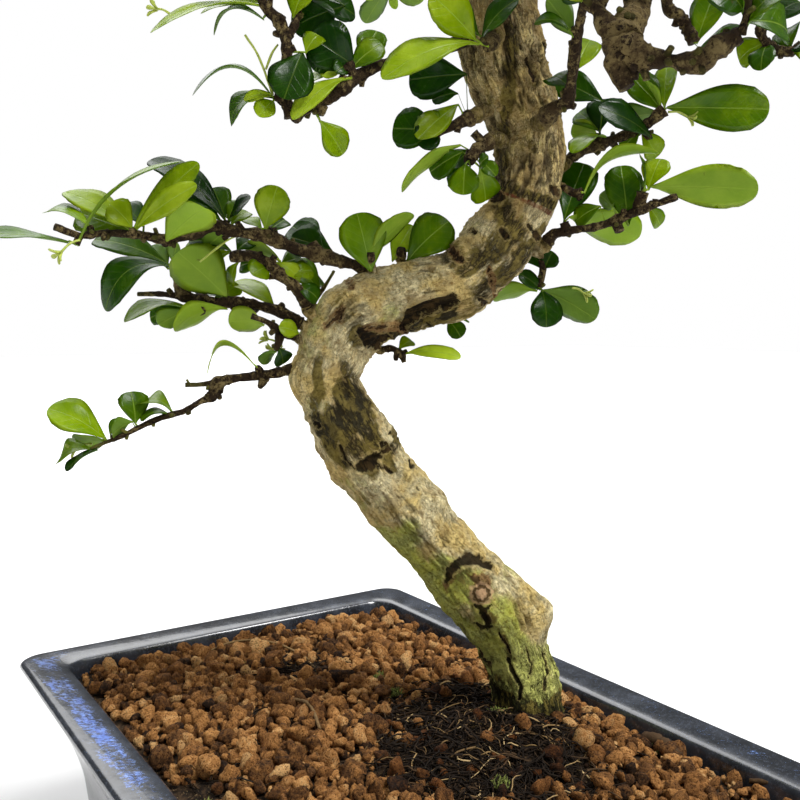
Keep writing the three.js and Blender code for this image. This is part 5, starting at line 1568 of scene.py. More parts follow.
@dataclass(frozen=True)
class DrainScreens:
    """The two plastic screens over the drain holes, which keep their packed form."""

    nodes: tuple[str, ...] = ("drain_screen_left", "drain_screen_right")

    def dress(self) -> None:
        """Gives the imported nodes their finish."""
        material = ScreenFinish().material()
        for node in self.nodes:
            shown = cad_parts[node]
            shown.data.materials.clear()
            shown.data.materials.append(material)
            log.info("%s: dressed", node)


# The soil

TRUNK_FOOT = np.array([54.0, 15.0, 0.0])
TRUNK_FOOT_RADIUS = 12.0


@dataclass(frozen=True)
class SoilBed:
    """The bed of peat that the grains lie on, which mounds up to the trunk."""

    half_length: float = 130.4
    half_width: float = 80.4
    corner_radius: float = 9.0
    edge_height: float = 77.0
    mound: float = 4.6
    relief: float = 1.1
    heap: tuple[float, float, float, float] = (45.0, 0.0, 5.5, 26.0)
    bottom: float = 14.3
    columns: int = 150
    rows: int = 96
    seed: int = 31

    def height(self, x: Array, y: Array) -> Array:
        """Top of the bed: edge + mound·(1-a⁴)(1-c⁴), noise and a heap at the trunk.

        Args:
            x: Places along the pot.
            y: Places across it.

        Returns:
            Heights; a and c are the shares of the bed's half sizes that x and y come to.
        """
        along = np.clip(np.abs(x) / self.half_length, 0.0, 1.0)
        across = np.clip(np.abs(y) / self.half_width, 0.0, 1.0)
        inner = (1.0 - along**4) * (1.0 - across**4)
        points = np.stack([x / 6.0, y / 6.0, np.zeros_like(x)], axis=-1)
        rough = self.relief * layered_noise(points, 3, self.seed)
        right, away, lift, spread = self.heap
        foot = into_pot_frame(np.array([right, away, 0.0]))
        heap = lift * np.exp(-((x - foot[0]) ** 2 + (y - foot[1]) ** 2) / (2.0 * spread**2))
        return self.edge_height + inner * (self.mound + rough + heap)

    def _outline(self, column: Array, row: Array, shrink: Array) -> Array:
        """Places inside a rectangle with rounded corners.

        Args:
            column: Shares of -1 to 1 along it.
            row: Shares of -1 to 1 across it.
            shrink: How much smaller its half sizes are than the bed's.

        Returns:
            The places, along and across.
        """
        half_length = self.half_length - shrink
        x = column * half_length
        past = np.maximum(np.abs(x) - (half_length - self.corner_radius), 0.0)
        cut = self.corner_radius - np.sqrt(np.maximum(self.corner_radius**2 - past**2, 0.0))
        y = row * (self.half_width - shrink - cut)
        return np.stack([x, y], axis=-1)

    def build(self) -> bpy.types.Object:
        """Makes the bed's piece.

        Returns:
            The bed, which stands for the packed soil.
        """
        surface = Surface()
        column, row = np.meshgrid(
            np.linspace(-1.0, 1.0, self.columns), np.linspace(-1.0, 1.0, self.rows), indexing="ij"
        )
        flat = self._outline(column, row, np.zeros_like(column))
        top = np.concatenate([flat, self.height(flat[..., 0], flat[..., 1])[..., None]], axis=-1)
        surface.add_grids(top, flipped=True)
        ring = [(column[:-1, 0], row[:-1, 0]), (column[-1, :-1], row[-1, :-1])]
        ring += [(column[:0:-1, -1], row[:0:-1, -1]), (column[0, :0:-1], row[0, :0:-1])]
        around = np.concatenate([part[0] for part in ring])
        across = np.concatenate([part[1] for part in ring])
        levels = []
        for height, shrink in ((self.edge_height, 0.0), (45.0, 10.3), (18.3, 12.3), (self.bottom, 14.1)):
            edge = self._outline(around, across, np.full_like(around, shrink))
            levels.append(np.concatenate([edge, np.full((len(edge), 1), height)], axis=-1))
        levels.append(np.broadcast_to([0.0, 0.0, self.bottom], levels[0].shape))
        surface.add_grids(np.stack(levels), wrapped=True, flipped=True)
        return surface.piece("peat_bed", [PeatFinish().material()], "soil", "soil_grains")


@dataclass(frozen=True)
class Bare:
    """A round area of the soil where few grains lie.

    Attributes:
        right: Its place across, as the tree is seen.
        away: Its place away.
        wide: Its half size across.
        deep: Its half size away.
    """

    right: float
    away: float
    wide: float
    deep: float


BARE_AREAS: tuple[Bare, ...] = (
    Bare(34.0, -10.0, 36.0, 46.0),
    Bare(-40.0, 60.0, 14.0, 8.0),
    Bare(-62.0, -42.0, 10.0, 14.0),
)


def bareness(x: Array, y: Array) -> Array:
    """How bare the soil is of grains.

    Args:
        x: Places along the pot.
        y: Places across it.

    Returns:
        Shares from 0 to 1.
    """
    seen = as_seen(np.stack([x, y, np.zeros_like(x)], axis=-1))
    wobble = 0.35 * lattice_noise(seen / 9.0, 77)
    apart = [
        np.hypot((seen[..., 0] - area.right) / area.wide, (seen[..., 1] - area.away) / area.deep)
        for area in BARE_AREAS
    ]
    return 1.0 - ramp(0.75, 1.2, np.min(apart, axis=0) + wobble)


@dataclass(frozen=True)
class Grains:
    """Loose clay grains of one size range on the bed.

    Attributes:
        name: The piece's name.
        spacing: How far apart they are strewn.
        sizes: The least and the greatest size.
        lift: How far their middles lie above the bed.
        kept: The share of places that hold one.
        rows: Rows of a grain's grid, pole to pole.
        columns: Points round it.
        seed: The seed of their random draw.
        facets: How many planes cut each grain.
    """

    name: str
    spacing: float
    sizes: tuple[float, float]
    lift: float
    kept: float
    rows: int
    columns: int
    seed: int
    facets: int = 9

    def places(self, bed: SoilBed) -> tuple[Array, np.random.Generator]:
        """Scatters grains over staggered rows and drops those in bare areas, the trunk or the wall.

        Args:
            bed: What they lie on.

        Returns:
            Their places on the bed, and the random numbers that go on with their shapes.
        """
        draw = np.random.default_rng(self.seed)
        x, y = np.meshgrid(
            np.arange(-bed.half_length + 2.0, bed.half_length - 1.0, self.spacing),
            np.arange(-bed.half_width + 2.0, bed.half_width - 1.0, self.spacing * 0.88),
        )
        x[1::2] += 0.5 * self.spacing
        x = (x + draw.normal(0.0, 0.22 * self.spacing, x.shape)).ravel()
        y = (y + draw.normal(0.0, 0.22 * self.spacing, y.shape)).ravel()
        foot = into_pot_frame(TRUNK_FOOT)
        keep = np.hypot(x - foot[0], y - foot[1]) > TRUNK_FOOT_RADIUS
        margin = 1.5 + 0.3 * self.sizes[0]
        keep &= (np.abs(x) < bed.half_length - margin) & (np.abs(y) < bed.half_width - margin)
        keep &= draw.random(x.shape) < self.kept * (1.0 - 0.9 * bareness(x, y))
        x, y = x[keep], y[keep]
        return np.stack([x, y, bed.height(x, y) + self.lift], axis=-1), draw

    def build(self, bed: SoilBed, material: bpy.types.Material) -> bpy.types.Object:
        """Makes the piece: each grain is a closed grid of directions whose radius is cut by random planes.

        A plane with normal n at distance h cuts the radius of direction v to h / (v·n).

        Args:
            bed: What the grains lie on.
            material: Their finish.

        Returns:
            The piece of all the grains.
        """
        middle, draw = self.places(bed)
        count = len(middle)
        turn = np.linspace(0.0, np.pi, self.rows)
        around = 2.0 * np.pi * np.arange(self.columns) / self.columns
        level = np.sin(turn)[:, None]
        down = -np.cos(turn)[:, None] * np.ones(self.columns)
        ways = np.stack([level * np.cos(around), level * np.sin(around), down], axis=-1).reshape(-1, 3)
        planes = unit(draw.normal(size=(count, self.facets, 3)))
        distance = draw.uniform(0.6, 0.95, (count, self.facets, 1))
        facing = np.einsum("nfk,vk->nfv", planes, ways)
        radius = np.min(np.where(facing > 0.3, distance / np.maximum(facing, 0.3), 1.15), axis=1)
        size = draw.uniform(*self.sizes, (count, 1, 1)) * draw.uniform(0.8, 1.1, (count, 1, 1)) / 2.0
        bend = np.eye(3) + draw.normal(0.0, 0.14, (count, 3, 3))
        lumps = layered_noise(ways * 2.1 + middle[:, None] * 7.0, 3, self.seed)
        shape = ways * (size * (radius + 0.3 * lumps)[..., None])
        shape = np.einsum("nvk,nkj->nvj", shape, bend)
        shape = shape.reshape(count, self.rows, self.columns, 3)
        shape[:, 0] = shape[:, 0].mean(axis=1, keepdims=True)
        shape[:, -1] = shape[:, -1].mean(axis=1, keepdims=True)
        points = shape + middle[:, None, None]
        shade = np.clip(draw.normal(0.52, 0.24, count), 0.02, 1.0)
        damp = np.clip(bareness(middle[:, 0], middle[:, 1]) + draw.normal(0.1, 0.2, count), 0.0, 1.0)
        tone = np.stack([shade, damp, np.zeros(count)], axis=-1)[:, None, None]
        surface = Surface()
        surface.add_grids(points, wrapped=True, tone=np.broadcast_to(tone, points.shape))
        return surface.piece(self.name, [material], None, "soil_grains")


GRAINS: tuple[Grains, ...] = (
    Grains("grains_fine", 3.9, (1.4, 3.2), 1.6, 0.8, 5, 6, 5),
    Grains("grains_lower", 5.6, (3.0, 5.8), 1.0, 0.95, 7, 9, 6),
    Grains("grains_upper", 5.9, (3.4, 6.6), 2.6, 0.8, 8, 10, 7),
    Grains("grains_coarse", 14.0, (6.4, 8.8), 3.2, 0.7, 10, 13, 8),
)


# Stems


@dataclass(frozen=True)
class StemForm:
    """How tubes of wood are laid: their sides, their steps and the size of their knobs."""

    sides: int = 10
    step: float = 0.95
    knob: float = 0.14
    ripple: float = 0.17
    node_spacing: float = 9.0
    node_lift: float = 0.12
    least: float = 0.28

    def tube(self, stations: Array, seed: int) -> tuple[Array, Array]:
        """A closed tube of wood through stations, whose radius swells and ripples with noise.

        Args:
            stations: Places with a radius, as rows of four.
            seed: Which noise it takes.

        Returns:
            Its grid of steps by sides, and its marks: ridges, thickness and youth.
        """
        length = float(lengths_along(stations[:, :3])[-1])
        steps = max(6, int(length / self.step), 3 * len(stations))
        path = smooth_path(stations, steps)
        centre = path[:, :3]
        along = lengths_along(centre)
        radius = np.maximum(path[:, 3], self.least)
        zero, one = np.zeros(steps), np.ones(steps)
        swell = lattice_noise(np.stack([along / 2.4, zero, zero], -1), seed)
        swell = swell + 0.7 * lattice_noise(np.stack([along / 1.1, zero, one], -1), seed)
        shift = float(lattice_noise(np.array([seed * 1.7, 0.5, 0.5]), 3))
        apart = np.abs((along / self.node_spacing + shift + 0.5) % 1.0 - 0.5) * self.node_spacing
        radius = radius * (1.0 + self.knob * swell + self.node_lift * np.exp(-((apart / 0.8) ** 2)))
        ways, _ = rings_round(centre, steady_reference(centre), self.sides)
        around = ways * 1.6 + along[:, None, None] * np.array([0.25, 0.35, 0.3])
        ridge = layered_noise(around, 2, seed + 9)
        skin = centre[:, None] + ways * (radius[:, None, None] * (1.0 + self.ripple * ridge[..., None]))
        youth = np.broadcast_to((0.85 * ramp(0.95, 0.5, path[:, 3]))[:, None], ridge.shape)
        thick = np.broadcast_to(ramp(1.8, 3.4, path[:, 3])[:, None], ridge.shape)
        marks = np.stack([0.5 + 0.5 * ridge, thick, youth], -1)
        ends = [np.broadcast_to(centre[k], skin[:1].shape) for k in (0, -1)]
        grid = np.concatenate([ends[0], skin, ends[1]])
        return grid, np.concatenate([marks[:1], marks, marks[-1:]])


# Leaves


@dataclass(frozen=True)
class Leaf:
    """One leaf to be laid: where it grows from, its blade's foot and tip, and how it is turned and shaded."""

    root: Array
    foot: Array
    tip: Array
    width: float
    normal: Array
    arch: float
    phase: float
    shade: float
    yellow: float


@dataclass(frozen=True)
class LeafForm:
    """The form of a blade: broadest past its middle, waved along its edge, toothed at its tip, on a stalk."""

    widest: float = 0.66
    base: float = 0.05
    across: int = 7
    body_rows: int = 11
    tip_rows: int = 9
    stalk_radius: float = 0.5
    thickness: float = 0.3
    fold: float = 0.12
    wave: float = 0.12
    wave_rate: float = 7.0
    tooth: float = 0.03

    def grids(self, leaves: Sequence[Leaf]) -> tuple[Array, Array, Array]:
        """Lays leaves as closed tubes whose rings are first the stalk's circle and then the blade's section.

        Each blade ring runs over the upper face from one edge to the other and back below it. Its middle
        is foot + along·t·length + normal·arch·4t(1-t), and its edges rise by
        half·(fold + side·wave·sin(7t+phase)). With w the widest place, half grows as sin(90°·t/w)^1.2 up to
        it, and closes as a half ellipse after it.

        Args:
            leaves: The leaves.

        Returns:
            Their grids, their marks (millimetres across and along, and the underside) and their tones.
        """
        root = np.array([leaf.root for leaf in leaves])[:, None, None]
        foot = np.array([leaf.foot for leaf in leaves])[:, None, None]
        tip = np.array([leaf.tip for leaf in leaves])[:, None, None]
        length = np.linalg.norm(tip - foot, axis=-1)
        along = unit(tip - foot)
        upward = across_of(np.array([leaf.normal for leaf in leaves])[:, None, None], along)
        sideways = np.cross(upward, along)
        width, arch, phase = (
            np.array([getattr(leaf, name) for leaf in leaves])[:, None, None]
            for name in ("width", "arch", "phase")
        )
        top = np.linspace(1.0, -1.0, self.across)
        side = np.concatenate([top, top[-2:0:-1]])[None, None]
        below = np.concatenate([np.zeros(self.across), np.ones(self.across - 2)])[None, None]
        body = np.linspace(0.0, self.widest, self.body_rows)
        past = np.sin(np.linspace(0.0, 0.5 * np.pi, self.tip_rows + 1)[1:])
        t = np.concatenate([body, self.widest + (1.0 - self.widest) * past])[None, :, None]
        grown = np.sin(0.5 * np.pi * np.minimum(t / self.widest, 1.0)) ** 1.2
        beyond = np.maximum(t - self.widest, 0.0) / (1.0 - self.widest)
        closed = np.sqrt(np.clip(1.0 - beyond**2, 0.0, 1.0))
        share = (self.base + (1.0 - self.base) * grown) * closed
        notch = np.where(t > self.widest, np.sin(40.0 * t + 3.0 * phase), 0.0)
        half = 0.5 * width * share * (1.0 + self.tooth * notch)
        waved = self.wave * side * np.abs(side) * np.sin(self.wave_rate * t + phase)
        lift = half * (self.fold * side**2 + waved)
        rib = np.exp(-((side * half / 0.55) ** 2)) * (1.0 - 0.8 * t)
        thick = self.thickness * np.sqrt(1.0 - side**2 * 0.999) * np.minimum(1.0, (1.0 - t) * 12.0)
        height = lift - 0.14 * rib - below * (thick + 0.5 * rib * np.minimum(1.0, (1.0 - t) * 12.0))
        height = height + arch * 4.0 * t * (1.0 - t)
        blade = foot + along * (t * length)[..., None] + sideways * (side * half)[..., None]
        blade = blade + upward * height[..., None]
        turn = 2.0 * np.pi * np.arange(side.shape[-1]) / side.shape[-1]
        circle = sideways * np.cos(turn)[:, None] + upward * np.sin(turn)[:, None]
        reach = np.array([0.0, 0.0, 0.5, 0.95])[None, :, None, None]
        radius = self.stalk_radius * np.array([0.0, 1.0, 0.85, 0.75])[None, :, None, None]
        radius = radius * np.minimum(1.0, width / 5.0)[..., None]
        stalk = root + (foot - root) * reach + circle * radius
        grids = np.concatenate([stalk, blade], axis=1)
        mark = np.stack(np.broadcast_arrays(side * half, t * length, below), axis=-1)
        mark = np.concatenate([np.zeros_like(stalk), mark], axis=1)
        tone = np.array([[leaf.shade, leaf.yellow, 0.0] for leaf in leaves])[:, None, None]
        return grids, mark, np.broadcast_to(tone, grids.shape)


class Draw:
    """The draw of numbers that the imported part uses: state·48271 modulo 2147483647."""

    def __init__(self, seed: int) -> None:
        """Starts the draw from a seed."""
        self.state = seed * 7919 + 1

    def between(self, least: float, added: float) -> float:
        """A number from least to least + added."""
        self.state = self.state * 48271 % 2147483647
        return least + added * self.state / 2147483647


# Branches


@dataclass
class Branch:
    """One leafy branch: its stems with spurs, its leaves and its buds."""

    node: str
    growth: Growth
    seed: int
    wood: StemForm = field(default_factory=StemForm)
    form: LeafForm = field(default_factory=LeafForm)
    spur_spacing: float = 4.5
    small_leaves: int = 4

    def __post_init__(self) -> None:
        """Starts the branch's own random numbers and its empty surface."""
        self.draw = np.random.default_rng(self.seed)
        self.surface = Surface()
        self.tubes = 0

    def _add_stem(self, stations: Array, shade: Shade = Shade.WOOD) -> None:
        """Adds one tube of wood.

        Args:
            stations: Rows of place and radius.
            shade: The finish it takes.
        """
        self.tubes += 1
        grid, mark = self.wood.tube(stations, self.seed * 40 + self.tubes)
        self.surface.add_grids(grid, wrapped=True, shade=shade, mark=mark)

    def _add_leaves(self, leaves: Sequence[Leaf], shade: Shade) -> None:
        """Adds leaves, or the rays of buds.

        Args:
            leaves: The leaves.
            shade: The finish they take.
        """
        if leaves:
            grids, mark, tone = self.form.grids(leaves)
            self.surface.add_grids(grids, wrapped=True, shade=shade, mark=mark, tone=tone)

    def _add_spurs(self, run: Array) -> None:
        """Adds short cut spurs at uneven steps along a run, each off to a random side.

        Args:
            run: The run's stations, as rows of place and radius.
        """
        length = float(lengths_along(run[:, :3])[-1])
        for _ in range(int(length / self.spur_spacing)):
            place = self.draw.uniform(0.15, 0.95) * (len(run) - 1)
            before = min(int(place), len(run) - 2)
            start = run[before] + (run[before + 1] - run[before]) * (place - before)
            forward = unit(run[before + 1, :3] - run[before, :3])
            aside = across_of(self.draw.normal(size=3), forward)
            way = unit(aside + 0.5 * forward)
            reach = start[3] + self.draw.uniform(0.5, 2.2)
            radius = min(1.3, 0.85 * start[3]) * self.draw.uniform(0.7, 1.1)
            end = start[:3] + way * reach
            self._add_stem(np.array([[*start[:3], radius], [*end, 0.8 * radius]]))

    def _nearest(self, runs: Sequence[Array], point: Array) -> Array:
        """The point of the stems' own lines that lies nearest to a leaf's foot.

        Args:
            runs: The stations of the stem and the twigs.
            point: The leaf's foot.

        Returns:
            The nearest point.
        """
        best = runs[0][0, :3]
        for run in runs:
            first, last = run[:-1, :3], run[1:, :3]
            line = last - first
            share = np.clip(np.sum((point - first) * line, -1) / np.sum(line * line, -1), 0.0, 1.0)
            found = first + line * share[:, None]
            apart = np.linalg.norm(found - point, axis=-1)
            nearest = found[int(np.argmin(apart))]
            if np.linalg.norm(nearest - point) < np.linalg.norm(best - point):
                best = nearest
        return best

    def _placed_leaves(self, runs: Sequence[Array]) -> list[Leaf]:
        """The leaves that the table places one by one.

        Args:
            runs: The stations of the stem and the twigs.

        Returns:
            The leaves.
        """
        leaves = []
        table = rows(self.growth.leaves) if self.growth.leaves else []
        for order, row in enumerate(table):
            foot, tip = np.array(row[:3]), np.array(row[3:6])
            width, turn, arch, *pale = row[6:]
            along = unit(tip - foot)
            upward = across_of(UP, along)
            angle = math.radians(turn)
            normal = upward * math.cos(angle) + np.cross(along, upward) * math.sin(angle)
            drawn = float(np.clip(self.draw.normal(0.42, 0.26), 0.0, 1.0))
            shade = pale[0] if pale else drawn
            yellow = float(max(0.0, self.draw.normal(0.0, 0.2))) * shade
            root = self._nearest(runs, foot)
            leaves.append(Leaf(root, foot, tip, width, normal, arch, 2.4 * order, shade, yellow))
        return leaves

    def _whorl(self, end: Array, way: Array, draw: Draw) -> list[Leaf]:
        """The leaves at the end of a shoot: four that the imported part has, and smaller ones among them.

        Args:
            end: The shoot's end.
            way: Where it points to.
            draw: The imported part's random draw.

        Returns:
            The leaves.
        """
        reference = UP if abs(way[2]) < 0.9 else np.array([1.0, 0.0, 0.0])
        across = unit(np.cross(way, reference))
        beside = np.cross(way, across)
        start = draw.between(0.0, 2.0 * math.pi)
        leaves = []
        for order in range(4 + self.small_leaves):
            large = order < 4
            around = start + GOLDEN_ANGLE * order
            if large:
                tilt = math.radians(draw.between(26.0, 10.0) + 13.0 * order)
                length = draw.between(21.0, 8.0)
            else:
                tilt = math.radians(self.draw.uniform(8.0, 80.0))
                length = self.draw.uniform(8.0, 17.0)
            outward = across * math.cos(around) + beside * math.sin(around)
            along = way * math.cos(tilt) + outward * math.sin(tilt)
            foot = end - way * (1.2 * order if large else 1.1 * (order - 4))
            arch = draw.between(1.5, 2.0) if large else 1.2
            shade = float(np.clip(self.draw.normal(0.5 if large else 0.72, 0.18), 0.05, 1.0))
            yellow = 0.1 if large else 0.45
            tip = foot + along * length
            leaves.append(Leaf(foot, foot, tip, 0.44 * length, way, arch, around, shade, yellow))
        return leaves

    def _sprays(self) -> list[Leaf]:
        """Side shoots at even steps along the stem, left and right in turn, each with a whorl at its end.

        Returns:
            The leaves of the whorls.
        """
        if self.growth.sprays is None:
            return []
        count, reach, seed = self.growth.sprays
        draw = Draw(seed)
        stem = self.growth.runs()[0][:, :3]
        leaves = []
        for order in range(count):
            place = (0.3 + 0.7 * order / (count - 1)) * (len(stem) - 1)
            before = min(int(place), len(stem) - 2)
            start = stem[before] + (stem[before + 1] - stem[before]) * (place - before)
            tangent = unit(stem[before + 1] - stem[before])
            lean = 0.0 if order == count - 1 else 0.9 * (1 if order % 2 == 0 else -1)
            aside = unit(np.cross(tangent, UP))
            way = unit(0.7 * tangent + lean * aside + draw.between(0.25, 0.5) * UP)
            end = start + way * reach * draw.between(0.7, 0.6)
            self._add_stem(np.array([[*start, 1.1], [*end, 0.8]]))
            leaves += self._whorl(end, way, draw)
        return leaves

    def _buds(self) -> list[Leaf]:
        """Adds the stalks of buds and lays the rays of their stars.

        Returns:
            The rays, laid as small leaves.
        """
        rays = []
        for bud in BUDS.get(self.node, ()):
            root, tip = np.array(bud.root), np.array(bud.tip)
            way = unit(tip - root)
            bow = 0.5 * (root + tip) + 0.12 * np.linalg.norm(tip - root) * UP
            self._add_stem(np.array([[*root, 0.42], [*bow, 0.36], [*tip, 0.34]]), Shade.CALYX)
            across = across_of(np.array([0.3, 0.2, 1.0]), way)
            beside = np.cross(way, across)
            for order in range(bud.rays):
                around = 2.0 * math.pi * order / bud.rays + 0.4
                out = across * math.cos(around) + beside * math.sin(around)
                end = tip + unit(out + 0.7 * way) * 3.6
                rays.append(Leaf(tip, tip, end, 1.5, way, 0.3, around, 0.9, 0.8))
        return rays

    def build(self, materials: Sequence[bpy.types.Material]) -> bpy.types.Object:
        """Makes the branch's piece.

        Args:
            materials: Twig bark, leaf skin and bud green, in the order of Shade.

        Returns:
            The branch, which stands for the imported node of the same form.
        """
        runs = self.growth.runs()
        for order, run in enumerate(runs):
            rooted = run
            if order == 0:
                back = run[0].copy()
                back[:3] -= unit(run[1, :3] - run[0, :3]) * 1.2
                rooted = np.vstack([back, run])
            self._add_stem(rooted)
            self._add_spurs(run)
        self._add_leaves(self._placed_leaves(runs) + self._sprays(), Shade.LEAF)
        self._add_leaves(self._buds(), Shade.CALYX)
        for part, points in enumerate(self.surface.points):
            self.surface.points[part] = into_pot_frame(points)
        name = self.node.replace("branch_", "leafy_")
        return self.surface.piece(name, materials, self.node, "foliage")


# The trunk


@dataclass(frozen=True)
class Trunk:
    """The bent trunk with its bark, knobs, scars and the collars under its branches.

    Attributes:
        steps: Rings along it.
        sides: Points round it.
        lump: How high its lumps are; knot, crack, wrinkle and grit say the same of the finer relief.
        upper_cracks: Heights between which the upper trunk's cracks begin.
        lower_cracks: Heights between which the foot's cracks begin.
        wire: The wire's mark: a place of it to the right, its height there, its fall to the right and its
            half width.
        collar_sides: Points round a collar.
        seed: Which noise it takes.
    """

    steps: int = 570
    sides: int = 146
    lump: float = 1.4
    knot: float = 0.85
    crack: float = 1.25
    wrinkle: float = 0.5
    grit: float = 0.24
    upper_cracks: tuple[float, float] = (262.0, 285.0)
    lower_cracks: tuple[float, float] = (150.0, 105.0)
    wire: tuple[float, float, float, float] = (45.0, 275.5, 0.42, 0.9)
    collar_sides: int = 12
    seed: int = 505

    def _flow(self, along: Array, radius: Array) -> Array:
        """The skin unrolled without a seam: (r·cos a, r·sin a, way along), in millimetres.

        Args:
            along: How far each ring lies along the trunk.
            radius: Its radius.

        Returns:
            Three numbers for each point of the skin.
        """
        angle = 2.0 * np.pi * np.arange(self.sides) / self.sides
        wide = np.maximum(radius, 6.0)[:, None]
        far = np.broadcast_to(along[:, None], (len(along), self.sides))
        return np.stack([wide * np.cos(angle), wide * np.sin(angle), far], axis=-1)

    def _relief(self, flow: Array, radius: Array, fissured: Array) -> tuple[Array, Array, Array]:
        """Bark heights from noise on the unrolled skin: lumps, knots, lengthwise cracks and cross seams.

        Args:
            flow: The unrolled skin.
            radius: The trunk's radius along its way.
            fissured: How split the bark is, from 0 to 1.

        Returns:
            The heights, the cracks from 0 to 1 and the ridges from 0 to 1.
        """
        lumps = layered_noise(flow * np.array([1.0, 1.0, 0.7]) / 11.0, 2, self.seed)
        knots = layered_noise(flow * np.array([1.0, 1.0, 0.7]) / 4.2, 2, self.seed + 10)
        split = 1.0 - np.abs(layered_noise(flow * np.array([1.0, 1.0, 0.22]) / 2.9, 3, self.seed + 20))
        patches = layered_noise(flow / 15.0, 2, self.seed + 5)
        where = ramp(-0.1, 0.45, patches + 0.45 * fissured)
        cracks = ramp(0.86, 0.985, split) * where
        folds = 1.0 - np.abs(layered_noise(flow * np.array([0.3, 0.3, 1.0]) / 3.0, 3, self.seed + 40))
        grit = layered_noise(flow / 1.3, 2, self.seed + 60)
        slender = np.clip(radius / 12.0, 0.15, 1.0)[:, None]
        heights = self.lump * lumps + self.knot * knots - self.crack * cracks
        heights = heights - self.wrinkle * ramp(0.8, 1.0, folds) + self.grit * grit
        return slender * heights, cracks, 0.5 + 0.5 * knots

    def _knobs(self, skin: Array, ways: Array) -> Array:
        """Raises each knob and burl as a bell round its own place: lift·exp(-apart²/2spread²).

        Args:
            skin: The smooth skin.
            ways: The way out at each of its points.

        Returns:
            The knobbed skin.
        """
        for *place, lift, spread in TRUNK_KNOBS:
            apart = np.linalg.norm(skin - np.array(place), axis=-1, keepdims=True)
            skin = skin + ways * (lift * np.exp(-(apart**2) / (2.0 * spread**2)))
        return skin

    def _scars(self, skin: Array, facing: Array) -> tuple[Array, Array, Array, Array]:
        """Cuts the gashes and lays the dark patches on the side that faces the front.

        Args:
            skin: The knobbed skin.
            facing: How far each point faces the front, from 0 to 1.

        Returns:
            The heights of the cuts and their rims, and how scarred, rusty and stained the bark is.
        """
        warped = skin + 0.5 * np.stack([lattice_noise(skin / 2.0, 91 + k) for k in range(3)], axis=-1)
        right, up = warped[..., 0], warped[..., 2]
        cuts, scars, rust, stain = np.zeros((4, *facing.shape))
        for gash in GASHES:
            near = nearness(gash.line, right, up)
            rim = gash.lift * np.exp(-(((near + 0.15) / 0.3) ** 2))
            cuts += facing * (rim - gash.depth * ramp(0.0, 0.45, near))
            scars = np.maximum(scars, facing * gash.dark * np.clip((near + 0.6) / 1.6, 0.0, 1.0))
            rust = np.maximum(rust, facing * gash.rust * np.clip((near + 0.6) / 1.2, 0.0, 1.0))
        for patch in STAINS:
            near = nearness(patch.line, right, up)
            stain = np.maximum(stain, patch.strength * facing * np.clip(near + 0.5, 0.0, 1.0))
        return cuts, scars, rust, stain

    def _weather(self, skin: Array, ways: Array) -> tuple[Array, Array, Array]:
        """Spreads algae, the wire's mark, painted shade under the bend and up high, and a dark foot over the
        bark.

        Args:
            skin: The finished skin.
            ways: The way out at each of its points.

        Returns:
            How green and how rusty the bark is, and how far it is darkened, mostly as painted shade, from 0
            to 1.
        """
        up = skin[..., 2]
        mottle = layered_noise(skin / 14.0, 3, self.seed + 70)
        low = ramp(190.0, 95.0, up) * 0.95 + 0.35 * ramp(265.0, 225.0, up)
        sunny = ramp(-0.2, 0.8, ways[..., 0] + 0.5 * ways[..., 2])
        algae = np.clip(low + 0.9 * mottle - 0.75 * sunny * ramp(96.0, 125.0, up), 0.0, 1.0)
        right, height, slope, thick = self.wire
        off_wire = (up - height + slope * (skin[..., 0] - right)) / thick
        wire = np.exp(-(off_wire**2)) * ramp(-0.5, 0.2, mottle)
        # Painted shade: darker higher up, with some random tone mixed in.
        upper = 0.15 * ramp(255.0, 340.0, up) + 0.15 * ramp(0.0, 0.6, mottle)
        # Painted shade on the underside of the bend.
        under = 0.55 * ramp(-0.15, -0.8, ways[..., 2]) * ramp(215.0, 240.0, up)
        # Darker at the foot, down by the soil.
        foot = ramp(91.0, 81.0, up)
        return algae, wire, np.maximum(np.maximum(upper, under), foot)

    def build(self) -> bpy.types.Object:
        """Makes the trunk's piece.

        Returns:
            The trunk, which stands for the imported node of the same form.
        """
        path = smooth_path(np.array(TRUNK_STATIONS), self.steps)
        centre, radius = path[:, :3], path[:, 3]
        ways, _ = rings_round(centre, TOWARDS_VIEWER, self.sides)
        skin = self._knobs(centre[:, None] + ways * radius[:, None, None], ways)
        flow = self._flow(lengths_along(centre), radius)
        up = skin[..., 2]
        fissured = np.maximum(0.8 * ramp(*self.upper_cracks, up), 0.85 * ramp(*self.lower_cracks, up))
        heights, cracks, ridges = self._relief(flow, radius, fissured)
        cuts, scars, rust, stain = self._scars(skin, ramp(-0.1, 0.2, -ways[..., 1]))
        skin = skin + ways * (heights + cuts)[..., None]
        algae, wire, painted_shade_and_dark_foot = self._weather(skin, ways)
        mark = np.stack([cracks, scars, algae], axis=-1)
        # The third tone holds the stains and the painted shade together.
        tone = np.stack([ridges, np.maximum(rust, wire), np.maximum(stain, painted_shade_and_dark_foot)], axis=-1)
        ends = [np.broadcast_to(centre[k], skin[:1].shape) for k in (0, -1)]
        grid = np.concatenate([ends[0], skin, ends[1]])
        mark, tone, flow = (np.concatenate([layer[:1], layer, layer[-1:]]) for layer in (mark, tone, flow))
        surface = Surface()
        surface.add_grids(into_pot_frame(grid), wrapped=True, mark=mark, tone=tone, flow=flow)
        self._add_collars(surface)
        return surface.piece("bent_trunk", [BarkFinish().material()], "trunk", "bark")

